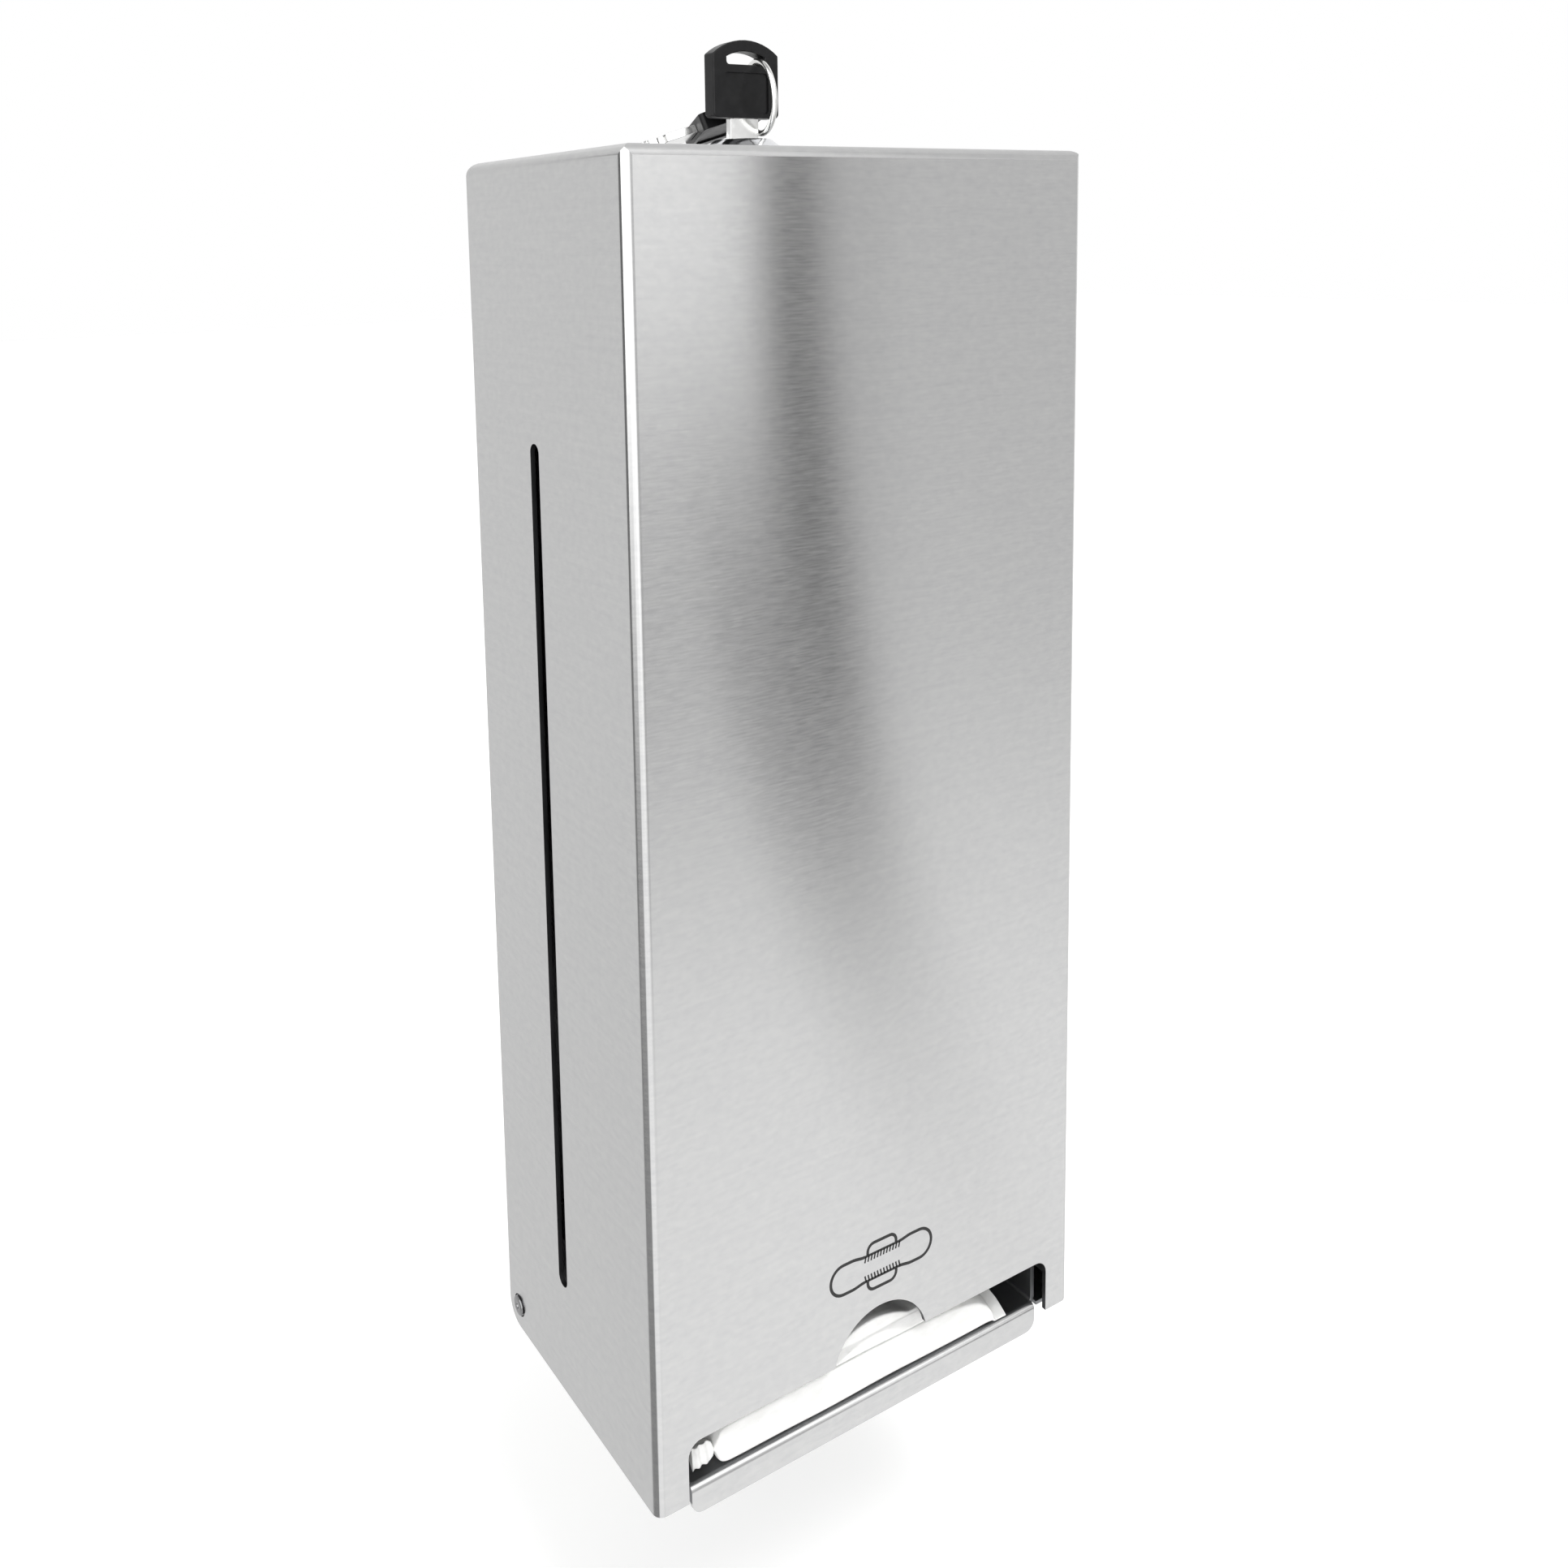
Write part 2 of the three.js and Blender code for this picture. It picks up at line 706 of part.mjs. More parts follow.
// Pillow-shaped pack along X, flattened into a crimp at each end
function wrappedPad() {
  const half = (packRight - packLeft) / 2;
  const bodyHalf = half - packCrimpLength;
  const packDepth = packRear - packFront;
  const crimpDepth = packDepth - packCrimpInset * 2;
  const inner = packStationShares.map((share) => ({
    x: bodyHalf * share,
    swell: Math.sqrt(1 - share ** packSwellPower),
  }));
  const rightStations = [{ x: half, swell: 0 }, { x: bodyHalf, swell: 0 }, ...inner];
  const stations = [
    ...rightStations.map(({ x, swell }) => ({ x: -x, swell })),
    ...[...rightStations].reverse(),
  ];
  const around = smallRoundSteps;
  const rounded = (value) => Math.sign(value) * Math.abs(value) ** packSquareness;
  const places = stations.flatMap(({ x, swell }) => {
    const depth = crimpDepth + (packDepth - crimpDepth) * swell;
    const thickness = packCrimpThickness + (packThickness - packCrimpThickness) * swell;
    return Array.from({ length: around }, (_, index) => {
      const angle = (2 * Math.PI * (index + 0.5)) / around;
      return [x, (depth / 2) * rounded(Math.cos(angle)), (thickness / 2) * rounded(Math.sin(angle))];
    });
  });
  const faces = [];
  stations.slice(1).forEach((_, station) => {
    for (let index = 0; index < around; index += 1) {
      const next = (index + 1) % around;
      const near = station * around;
      const far = near + around;
      faces.push([near + index, near + next, far + index], [near + next, far + next, far + index]);
    }
  });
  const last = (stations.length - 1) * around;
  for (let index = 1; index < around - 1; index += 1) {
    faces.push([0, index + 1, index], [last, last + index, last + index + 1]);
  }
  const geometry = new THREE.BufferGeometry();
  geometry.setAttribute('position', new THREE.Float32BufferAttribute(places.flat(), 3));
  geometry.setIndex(faces.flat());
  return geometry;
}

function keyAssembly(prefix) {
  const key = new THREE.Group();
  key.add(
    piece(`${prefix}_blade`, keyBlade(), brushedSteel),
    piece(`${prefix}_head`, keyHead(), blackMoulding),
  );
  return key;
}

// Ring and spare key, hanging in the slot of the key that is in the lock
function ringAssembly() {
  const ring = new THREE.Group();
  const wireHeight = headBottom + headSlotBottom + ringWireRadius + ringSlotClearance;
  ring.position.set(ringOffset, -lockFromWall, wireHeight);
  const degrees = THREE.MathUtils.degToRad;
  ring.rotation.set(0, -degrees(ringLeanDegrees), -degrees(ringTurnDegrees), 'ZYX');
  ring.add(piece('key_ring', keyRing(), chromePlate));
  const spare = keyAssembly('spare_key');
  spare.children.forEach((mesh) => {
    mesh.geometry.translate(spareSlotShift, lockFromWall, -wireHeight);
  });
  const ringAngle = degrees(spareRingDegrees);
  spare.position.set(0, ringRadius * Math.sin(ringAngle), ringRadius * (Math.cos(ringAngle) - 1));
  spare.rotation.set(
    degrees(spareTipDegrees),
    degrees(spareLeanDegrees),
    degrees(spareTurnDegrees),
    'ZYX',
  );
  ring.add(spare);
  return ring;
}

function chassis() {
  const group = new THREE.Group();
  const pinStart = plateHalf - plateSheet - pinHeadThickness;
  const rightPin = piece('hinge_pin_right', hingePin().rotateY(Math.PI / 2), brushedSteel);
  rightPin.position.set(pinStart, -hingeFromWall, hingeHeight);
  const leftPin = piece('hinge_pin_left', hingePin().rotateY(-Math.PI / 2), brushedSteel);
  leftPin.position.set(-pinStart, -hingeFromWall, hingeHeight);
  group.add(
    piece('back_plate', backPlate(), mattSteel),
    piece('pad_tray', padTray(), brushedSteel),
    piece('lock_strike', strike(), mattSteel),
    leftPin,
    rightPin,
  );
  return group;
}

function cover() {
  const group = new THREE.Group();
  group.add(
    piece('cover_shell', coverShell(), brushedSteel),
    piece('lock_housing', lockHousing(), chromePlate),
    piece('lock_washer', lockWasher(), mattSteel),
    piece('lock_nut', lockNut(), mattSteel),
    piece('lock_plug', lockPlug(), chromePlate),
    piece('lock_cam', lockCam(), mattSteel),
    piece('cam_washer', camWasher(), mattSteel),
    piece('cam_screw', camScrew(), mattSteel),
    keyAssembly('key'),
    ringAssembly(),
  );
  return group;
}

function padStack() {
  const group = new THREE.Group();
  for (let index = 0; index < packCount; index += 1) {
    const pack = piece(`wrapped_pad_${index + 1}`, wrappedPad(), whiteFilm);
    const middle = packFloor + packThickness / 2 + (packThickness + packGap) * index;
    pack.position.set((packLeft + packRight) / 2, (packFront + packRear) / 2, middle);
    group.add(pack);
  }
  return group;
}

const dispenser = new THREE.Group();
dispenser.add(chassis(), cover(), padStack());
dispenser.position.z = -coverHeight / 2;

export default dispenser;
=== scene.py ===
"""Dresses the wall-mounted pad dispenser: finishes, film packs, light and camera.

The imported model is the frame. Sheets, lock pieces and keys are copies of their solids
with broken edges. The film packs, the pins, the ring's wire, the pictogram and the
strips beside the tray are modelled here.
"""

from __future__ import annotations

import logging
import math
from dataclasses import dataclass
from enum import Enum
from typing import Any, Iterable, Sequence

import bmesh
import bpy
from mathutils import Euler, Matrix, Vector, noise


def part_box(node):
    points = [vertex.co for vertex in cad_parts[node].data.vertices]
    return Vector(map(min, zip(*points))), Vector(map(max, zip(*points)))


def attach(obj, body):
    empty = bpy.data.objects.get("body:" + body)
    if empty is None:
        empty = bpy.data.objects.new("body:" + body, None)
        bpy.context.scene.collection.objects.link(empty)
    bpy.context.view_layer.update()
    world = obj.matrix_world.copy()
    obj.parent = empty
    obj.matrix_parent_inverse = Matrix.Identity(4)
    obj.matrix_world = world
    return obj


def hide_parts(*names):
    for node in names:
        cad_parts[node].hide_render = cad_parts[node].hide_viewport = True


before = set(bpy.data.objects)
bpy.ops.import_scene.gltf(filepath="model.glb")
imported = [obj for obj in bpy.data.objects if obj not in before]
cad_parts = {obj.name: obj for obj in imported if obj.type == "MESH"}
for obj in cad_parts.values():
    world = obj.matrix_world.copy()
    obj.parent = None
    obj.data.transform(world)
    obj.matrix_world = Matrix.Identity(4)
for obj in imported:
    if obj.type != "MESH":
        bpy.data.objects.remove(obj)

log = logging.getLogger("pad_dispenser")

MM = 0.001
PHOTO_SIDE = 1932
NOISE_MIDDLE = (0.25, 0.75)
WHITE = (1.0, 1.0, 1.0, 1.0)

# How a copied solid is cleaned and its edges found
WELD_MM = 0.002
FLAT_DEGREES = 0.6
SHARP_DEGREES = 32.0
OUTER_DEGREES = 50.0
OUTER_DEPTH_MM = 1.5
EDGE_SEGMENTS = 2
EASED_DEGREES = 40.0
NORMAL_WEIGHT = 60

Colour = tuple[float, float, float, float]
Faces = list[tuple[int, ...]]
Pair = tuple[float, float]
Path = list[Pair]
Point = tuple[float, float, float]
Socket = bpy.types.NodeSocket
Tree = bpy.types.NodeTree


class Run(Enum):
    """Which way the polishing belt ran over a sheet face, by the axis across its lines."""

    LEVEL = "Z"
    DEPTH = "Y"


class Slot(Enum):
    """The record's material slots."""

    SHEET = "brushed_stainless"
    PLAIN = "plain_stainless"
    CHROME = "lock_chrome"
    ZINC = "cam_steel"
    NICKEL = "key_steel"
    MOULDING = "key_moulding"
    FILM = "pack_film"


def linear(code: str) -> Colour:
    """Turns an sRGB hex colour into linear light.

    Args:
        code: Six hex digits, with or without a leading #.

    Returns:
        Red, green, blue and an alpha of 1.
    """
    digits = code.lstrip("#")
    channels = [int(digits[i : i + 2], 16) / 255 for i in (0, 2, 4)]
    light = [c / 12.92 if c <= 0.04045 else ((c + 0.055) / 1.055) ** 2.4 for c in channels]
    return (light[0], light[1], light[2], 1.0)


def add_node(
    tree: Tree,
    kind: str,
    values: dict[str | int, Any] | None = None,
    links: dict[str | int, Socket] | None = None,
    **settings: Any,
) -> bpy.types.Node:
    """Adds one node with its settings, input values and incoming links.

    Args:
        tree: Node tree that takes the node.
        kind: Blender's node type, without its ShaderNode prefix.
        values: Input values by socket name or number.
        links: Output sockets to join to inputs, by socket name or number.
        settings: Properties of the node itself.

    Returns:
        The new node.
    """
    node = tree.nodes.new("ShaderNode" + kind)
    for name, setting in settings.items():
        setattr(node, name, setting)
    for name, value in (values or {}).items():
        node.inputs[name].default_value = value
    for name, socket in (links or {}).items():
        tree.links.new(socket, node.inputs[name])
    return node


def combine(tree: Tree, operation: str, *terms: Socket | float) -> Socket:
    """Joins values by one math operation.

    Args:
        tree: Node tree that takes the node.
        operation: Blender's name for the operation.
        terms: Sockets and plain numbers, in the operation's order.

    Returns:
        The result's socket.
    """
    plain = {place: term for place, term in enumerate(terms) if isinstance(term, float)}
    joined = {place: term for place, term in enumerate(terms) if not isinstance(term, float)}
    return add_node(tree, "Math", plain, joined, operation=operation).outputs[0]


def empty_tree(owner: bpy.types.Material | bpy.types.World) -> Tree:
    """Readies the node tree of a new material or world.

    Args:
        owner: The material or world.

    Returns:
        Its node tree, without the default nodes.
    """
    owner.use_nodes = True
    owner.node_tree.nodes.clear()
    return owner.node_tree


@dataclass(frozen=True)
class Surface:
    """A material's principled shader, and the uneven layers that a finish gives it."""

    tree: Tree
    shader: bpy.types.Node

    def uniform(self, values: dict[str, Any]) -> None:
        """Sets some of the shader's own sockets to plain values."""
        for name, value in values.items():
            self.shader.inputs[name].default_value = value

    def lead(self, name: str, layer: Socket) -> None:
        """Leads a layer into one of the shader's sockets."""
        self.tree.links.new(layer, self.shader.inputs[name])

    def grain(self, size_mm: Sequence[float], detail: float = 2.0, rough: float = 0.5) -> Socket:
        """Noise whose cells have a real size along each axis.

        Args:
            size_mm: Cell size along X, Y and Z, in millimetres.
            detail: Octaves of finer noise.
            rough: How strong the finer octaves are.

        Returns:
            The noise value's socket.
        """
        place = add_node(self.tree, "TexCoord").outputs["Object"]
        scale = tuple(1 / (size * MM) for size in size_mm)
        mapped = add_node(self.tree, "Mapping", {"Scale": scale}, {"Vector": place})
        values = {"Scale": 1.0, "Detail": detail, "Roughness": rough}
        cells = add_node(self.tree, "TexNoise", values, {"Vector": mapped.outputs["Vector"]})
        return cells.outputs["Fac"]

    def mean(self, one: Socket, other: Socket) -> Socket:
        """Halfway between two values."""
        return combine(self.tree, "MULTIPLY", combine(self.tree, "ADD", one, other), 0.5)

    def spread(self, value: Socket, low: float, high: float) -> Socket:
        """Maps the middle of a noise value to a range of numbers.

        Args:
            value: Noise between 0 and 1.
            low: Result at the lower end of the noise's middle.
            high: Result at its upper end.

        Returns:
            The mapped value's socket.
        """
        start, end = NOISE_MIDDLE
        limits = {"From Min": start, "From Max": end, "To Min": low, "To Max": high}
        return add_node(self.tree, "MapRange", limits, {"Value": value}).outputs["Result"]

    def tint(self, value: Socket, tones: tuple[str, str]) -> None:
        """Varies the base colour.

        Args:
            value: Noise between 0 and 1.
            tones: The dark and the light tone, as sRGB hex colours.
        """
        ends = {6: linear(tones[0]), 7: linear(tones[1])}
        share = self.spread(value, 0.0, 1.0)
        blend = add_node(self.tree, "Mix", ends, {0: share}, data_type="RGBA")
        self.lead("Base Color", blend.outputs[2])

    def gloss(self, value: Socket, change: Pair) -> None:
        """Varies the roughness.

        Args:
            value: Noise between 0 and 1.
            change: What is added to the roughness at both ends of the noise's middle.
        """
        base = self.shader.inputs["Roughness"].default_value
        self.lead("Roughness", self.spread(value, base + change[0], base + change[1]))

    def relief(self, height: Socket, relief: Pair) -> None:
        """Gives the surface fine relief.

        Args:
            height: The relief's height, from 0 to 1.
            relief: How much of it shows, and the millimetres that a height of 1 is.
        """
        values = {"Strength": relief[0], "Distance": relief[1] * MM}
        bump = add_node(self.tree, "Bump", values, {"Height": height})
        self.lead("Normal", bump.outputs["Normal"])


@dataclass(frozen=True)
class Finish:
    """A finish that is made once and then shared by its pieces."""

    name: str
    colour: str
    roughness: float

    def material(self) -> bpy.types.Material:
        """Returns this finish's material, built on first use."""
        known = bpy.data.materials.get(self.name)
        if known:
            return known
        made = bpy.data.materials.new(self.name)
        made.diffuse_color = linear(self.colour)
        tree = empty_tree(made)
        values = {"Base Color": linear(self.colour), "Roughness": self.roughness}
        shader = add_node(tree, "BsdfPrincipled", values)
        add_node(tree, "OutputMaterial", links={"Surface": shader.outputs["BSDF"]})
        self.dress(Surface(tree, shader))
        return made

    def dress(self, surface: Surface) -> None:
        """Adds what this finish shows beyond colour and gloss.

        Args:
            surface: The material's shader.
        """


@dataclass(frozen=True)
class BrushedStainless(Finish):
    """AISI 304 sheet, belt-ground with a fine grit before it was folded.

    The grit leaves level scratches. They smear each reflection upright but keep it
    narrow, and they show as faint level lines over soft clouds. The real ones are about
    0.1 mm apart: they are drawn further apart, so that they show.
    """

    run: Run = Run.LEVEL
    anisotropy: float = 1.0
    scratch_mm: Pair = (0.4, 5.0)
    streak_mm: Pair = (1.2, 20.0)
    cloud_mm: Point = (2.6, 2.6, 1.6)
    tones: tuple[str, str] = ("#C5C5C6", "#D3D3D2")
    gloss_change: Pair = (-0.025, 0.025)
    relief: Pair = (0.2, 0.003)
    belt: Point = (1.0, 0.03, 0.0)

    def dress(self, surface: Surface) -> None:
        """Adds scratches in tone, gloss and height, and the direction of the smear."""

        def sizes(pitch: float, length: float) -> list[float]:
            """Cell sizes with the pitch across the run and the length along it."""
            return [pitch if axis == self.run.value else length for axis in "XYZ"]

        fine = surface.grain(sizes(*self.scratch_mm), 3.0, 0.65)
        lines = surface.mean(fine, surface.grain(sizes(*self.streak_mm)))
        cloud = surface.grain(self.cloud_mm, 3.0, 0.6)
        surface.tint(surface.mean(lines, cloud), self.tones)
        surface.gloss(fine, self.gloss_change)
        surface.relief(lines, self.relief)
        surface.uniform({"Metallic": 1.0, "Anisotropic": self.anisotropy})
        # The belt ran along X on front and top; on the sides this gives the way along Y
        belt = add_node(
            surface.tree, "VectorTransform", {"Vector": self.belt}, vector_type="VECTOR",
            convert_from="OBJECT", convert_to="WORLD",
        )
        face = add_node(surface.tree, "NewGeometry")
        smear = add_node(
            surface.tree, "VectorMath", operation="CROSS_PRODUCT",
            links={0: face.outputs["Normal"], 1: belt.outputs["Vector"]},
        )
        surface.lead("Tangent", smear.outputs["Vector"])


@dataclass(frozen=True)
class MillStainless(Finish):
    """Unpolished cold-rolled stainless sheet: a dull, even sheen with faint clouds."""

    cloud_mm: float = 16.0
    gloss_change: Pair = (-0.07, 0.07)
    rolled_mm: Point = (0.5, 0.5, 9.0)
    relief: Pair = (0.15, 0.01)

    def dress(self, surface: Surface) -> None:
        """Adds clouds in gloss and a faint rolled grain."""
        surface.uniform({"Metallic": 1.0})
        surface.gloss(surface.grain((self.cloud_mm,) * 3), self.gloss_change)
        surface.relief(surface.grain(self.rolled_mm), self.relief)


@dataclass(frozen=True)
class PlatedMetal(Finish):
    """Bright plate over a pressed or die-cast base: sharp reflections, faint ripple."""

    ripple_mm: float = 1.6
    gloss_share: Pair = (-0.3, 0.4)
    relief: Pair = (0.5, 0.004)

    def dress(self, surface: Surface) -> None:
        """Adds the base metal's ripple and small changes in gloss."""
        surface.uniform({"Metallic": 1.0})
        ripple = surface.grain((self.ripple_mm,) * 3)
        low, high = self.gloss_share
        surface.gloss(ripple, (self.roughness * low, self.roughness * high))
        surface.relief(ripple, self.relief)


@dataclass(frozen=True)
class MouldedAbs(Finish):
    """Black ABS, injection moulded in a spark-eroded tool: fine grain, soft highlights."""

    grain_mm: float = 0.22
    rub_mm: float = 3.2
    tones: tuple[str, str] = ("#0B0B0C", "#1A1A1B")
    gloss_change: Pair = (0.08, -0.06)
    relief: Pair = (0.35, 0.02)
    refraction: float = 1.54
    specular: float = 0.22

    def dress(self, surface: Surface) -> None:
        """Adds the tool's grain and the rub marks that lighten handled plastic."""
        surface.uniform({"IOR": self.refraction, "Specular IOR Level": self.specular})
        rub = surface.grain((self.rub_mm,) * 3, 3.0, 0.6)
        surface.tint(rub, self.tones)
        surface.gloss(rub, self.gloss_change)
        surface.relief(surface.grain((self.grain_mm,) * 3), self.relief)


@dataclass(frozen=True)
class PackFilm(Finish):
    """White polyethylene film, blown and heat-sealed: milky, with a soft wet sheen.

    Light that enters it comes out nearby, so creases read as pale grey, never black.
    """

    crease_mm: Point = (5.0, 2.5, 2.0)
    fine_mm: Point = (0.9, 0.6, 0.6)
    fine_share: float = 0.18
    relief: Pair = (0.5, 0.22)
    tones: tuple[str, str] = ("#ECECEA", "#FAFAF9")
    gloss_change: Pair = (-0.08, 0.1)
    refraction: float = 1.51
    milk: float = 0.25
    milk_reach_mm: float = 1.2

    def dress(self, surface: Surface) -> None:
        """Adds milkiness, fine creases with painted shade in their hollows, and the sheen of the
        film.
        """
        surface.uniform(
            {
                "IOR": self.refraction,
                "Subsurface Weight": self.milk,
                "Subsurface Radius": (1.0, 1.0, 1.0),
                "Subsurface Scale": self.milk_reach_mm * MM,
            }
        )
        crease = surface.grain(self.crease_mm, 3.0, 0.55)
        fine = surface.grain(self.fine_mm)
        both = combine(surface.tree, "MULTIPLY_ADD", fine, self.fine_share, crease)
        surface.relief(both, self.relief)
        # The tone darkens where the creases sink: painted shade in their hollows
        surface.tint(crease, self.tones)
        surface.gloss(fine, self.gloss_change)


@dataclass(frozen=True)
class EtchedMark(Finish):
    """Electro-etched oxide on stainless: a dead, dark line with a slightly uneven edge."""

    patch_mm: float = 0.5
    tones: tuple[str, str] = ("#101010", "#262626")

    def dress(self, surface: Surface) -> None:
        """Adds the patchy depth of the oxide."""
        surface.tint(surface.grain((self.patch_mm,) * 3), self.tones)


SHEET_LEVEL = BrushedStainless("brushed stainless sheet, level grain", "#CDCDCD", 0.17)
SHEET_DEPTH = BrushedStainless("brushed stainless sheet, top", "#CDCDCD", 0.17, Run.DEPTH)
# The stretched bend is rougher. Its darker colour is painted shade that dims the bend's highlight
SHEET_BEND_WITH_PAINTED_SHADE = BrushedStainless(
    "brushed stainless sheet, stretched over the bend", "#C4C4C4", 0.46, anisotropy=0.6
)
# Mill sheet is duller than ground sheet. Its colour is darkened further as painted shade for the
# hollow insides
MILL_SHEET_WITH_PAINTED_SHADE = MillStainless("mill-finish stainless sheet with painted shade", "#8C8D8F", 0.45)
# The cut edges' dark colour is painted shade, so that the openings and the level slot read black
CUT_EDGE_WITH_PAINTED_SHADE = MillStainless("laser-cut stainless edge with painted shade", "#4E4E50", 0.5)
PIN_STEEL = PlatedMetal("turned stainless pin", "#8E8E8F", 0.2, ripple_mm=0.8)
LOCK_CHROME = PlatedMetal("chrome plate on die-cast zinc", "#E2E3E5", 0.12)
RING_NICKEL = PlatedMetal("nickel-plated spring wire", "#F0F0EE", 0.2, ripple_mm=2.5)
BLADE_NICKEL = PlatedMetal("nickel-plated pressed steel", "#E4E4E3", 0.16)
CAM_ZINC = PlatedMetal("zinc-plated steel", "#B9BABC", 0.34, ripple_mm=0.9, relief=(0.5, 0.01))
KEY_ABS = MouldedAbs("black moulded ABS", "#121213", 0.34)
PACK_WRAP = PackFilm("white polyethylene film", "#F6F6F4", 0.34)
ETCHED = EtchedMark("etched line on stainless", "#303030", 0.6)


def shown(
    name: str,
    mesh: bpy.types.Mesh,
    finish: Finish,
    body: str,
    nodes: Iterable[str] = (),
) -> bpy.types.Object:
    """Links a mesh into the scene as a piece of the object.

    Args:
        name: The piece's name.
        mesh: Its mesh, in metres in the row frame.
        finish: What it is made of.
        body: Body that it moves with.
        nodes: Solids that it stands for.

    Returns:
        The new object.
    """
    obj = bpy.data.objects.new(name, mesh)
    bpy.context.scene.collection.objects.link(obj)
    mesh.materials.append(finish.material())
    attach(obj, body)
    if nodes:
        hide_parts(*nodes)
    log.info("%s rides on %s", name, body)
    return obj


def smooth_by_angle(mesh: bpy.types.Mesh, degrees: float) -> None:
    """Shades a mesh smooth except over edges sharper than an angle."""
    mesh.polygons.foreach_set("use_smooth", [True] * len(mesh.polygons))
    mesh.set_sharp_from_angle(angle=math.radians(degrees))


def closed_mesh(
    name: str, points_mm: Iterable[Sequence[float]], faces: Faces, sharp_degrees: float = 35.0
) -> bpy.types.Mesh:
    """Makes a closed mesh whose faces look outwards.

    Args:
        name: The mesh's name.
        points_mm: Its points, in millimetres.
        faces: Its faces, as point numbers.
        sharp_degrees: Angle between faces from which an edge stays sharp.

    Returns:
        The new mesh, in metres.
    """
    mesh = bpy.data.meshes.new(name)
    mesh.from_pydata([tuple(c * MM for c in point) for point in points_mm], [], faces)
    mesh.update()
    work = bmesh.new()
    work.from_mesh(mesh)
    bmesh.ops.recalc_face_normals(work, faces=work.faces[:])
    work.to_mesh(mesh)
    work.free()
    smooth_by_angle(mesh, sharp_degrees)
    return mesh


def tube_faces(rings: int, count: int, joined: bool = False) -> Faces:
    """Faces between rings of points that follow one another.

    Args:
        rings: Number of rings.
        count: Points in each ring.
        joined: Whether the last ring joins the first.

    Returns:
        The faces, as four point numbers each.
    """
    faces: Faces = []
    for ring in range(rings if joined else rings - 1):
        here, there = ring * count, (ring + 1) % rings * count
        for i in range(count):
            after = (i + 1) % count
            faces.append((here + i, here + after, there + after, there + i))
    return faces


def end_faces(rings: int, count: int) -> Faces:
    """The two faces that close a tube's first and last ring."""
    last = (rings - 1) * count
    return [tuple(reversed(range(count))), tuple(range(last, last + count))]


def arc(centre: Pair, radius: float, start: float, sweep: float, steps: int) -> Path:
    """Points on a part of a circle.

    Args:
        centre: The circle's centre.
        radius: Its radius.
        start: Angle of the first point, in degrees.
        sweep: Angle from the first point to the last.
        steps: Number of steps between them.

    Returns:
        The points, one more than the steps.
    """
    turns = [math.radians(start + sweep * step / steps) for step in range(steps + 1)]
    return [(centre[0] + radius * math.cos(t), centre[1] + radius * math.sin(t)) for t in turns]


def break_edges(
    work: bmesh.types.BMesh,
    degrees: float,
    rounding_mm: float,
    segments: int,
    least_depth_mm: float = 0.0,
) -> None:
    """Rounds the edges of a mesh whose faces meet at more than an angle.

    Args:
        work: The mesh.
        degrees: The angle between the faces.
        rounding_mm: How far each edge is broken.
        segments: Faces across each broken edge.
        least_depth_mm: Leaves out an edge whose faces reach less far from it.
    """
    found = []
    for edge in work.edges:
        if len(edge.link_faces) != 2 or edge.calc_face_angle(0.0) < math.radians(degrees):
            continue
        area = min(face.calc_area() for face in edge.link_faces)
        if area / max(edge.calc_length(), 0.01 * MM) >= least_depth_mm * MM:
            found.append(edge)
    bmesh.ops.bevel(
        work, geom=found, offset=rounding_mm * MM, offset_type="OFFSET", segments=segments,
        profile=0.5, affect="EDGES", clamp_overlap=True,
    )


def eased(
    name: str,
    node: str,
    finish: Finish,
    body: str,
    rounding_mm: float,
    outer_mm: float = 0.0,
) -> bpy.types.Object:
    """Shows a copy of a solid whose sharp edges are broken, as a deburred sheet's are.

    Args:
        name: The piece's name.
        node: The solid that it copies and stands for.
        finish: What it is made of.
        body: Body that it moves with.
        rounding_mm: How far each edge is broken.
        outer_mm: A larger rounding for the edges between deep faces, or 0.

    Returns:
        The new object.
    """
    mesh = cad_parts[node].data.copy()
    mesh.materials.clear()
    work = bmesh.new()
    work.from_mesh(mesh)
    bmesh.ops.remove_doubles(work, verts=work.verts[:], dist=WELD_MM * MM)
    bmesh.ops.dissolve_limit(
        work, angle_limit=math.radians(FLAT_DEGREES), verts=work.verts[:], edges=work.edges[:]
    )
    if outer_mm:
        break_edges(work, OUTER_DEGREES, outer_mm, EDGE_SEGMENTS + 1, OUTER_DEPTH_MM)
    break_edges(work, SHARP_DEGREES, rounding_mm, EDGE_SEGMENTS)
    work.to_mesh(mesh)
    work.free()
    smooth_by_angle(mesh, EASED_DEGREES)
    piece = shown(name, mesh, finish, body, [node])
    modifier = piece.modifiers.new("flat faces stay flat", "WEIGHTED_NORMAL")
    modifier.weight = NORMAL_WEIGHT
    modifier.keep_sharp = True
    return piece


def ribbon(path: Path, width: float) -> tuple[Path, Faces]:
    """A flat band of even width along an open path in a plane.

    Args:
        path: Points on the band's middle.
        width: The band's width.

    Returns:
        Points, left and right in turn, and faces as four point numbers.
    """
    points: Path = []
    last = len(path) - 1
    for index, (x, z) in enumerate(path):
        before, after = path[max(index - 1, 0)], path[min(index + 1, last)]
        along = Vector((after[0] - before[0], after[1] - before[1])).normalized()
        side = Vector((-along.y, along.x)) * width / 2
        points += [(x + side.x, z + side.y), (x - side.x, z - side.y)]
    return points, [(2 * i, 2 * i + 1, 2 * i + 3, 2 * i + 2) for i in range(last)]


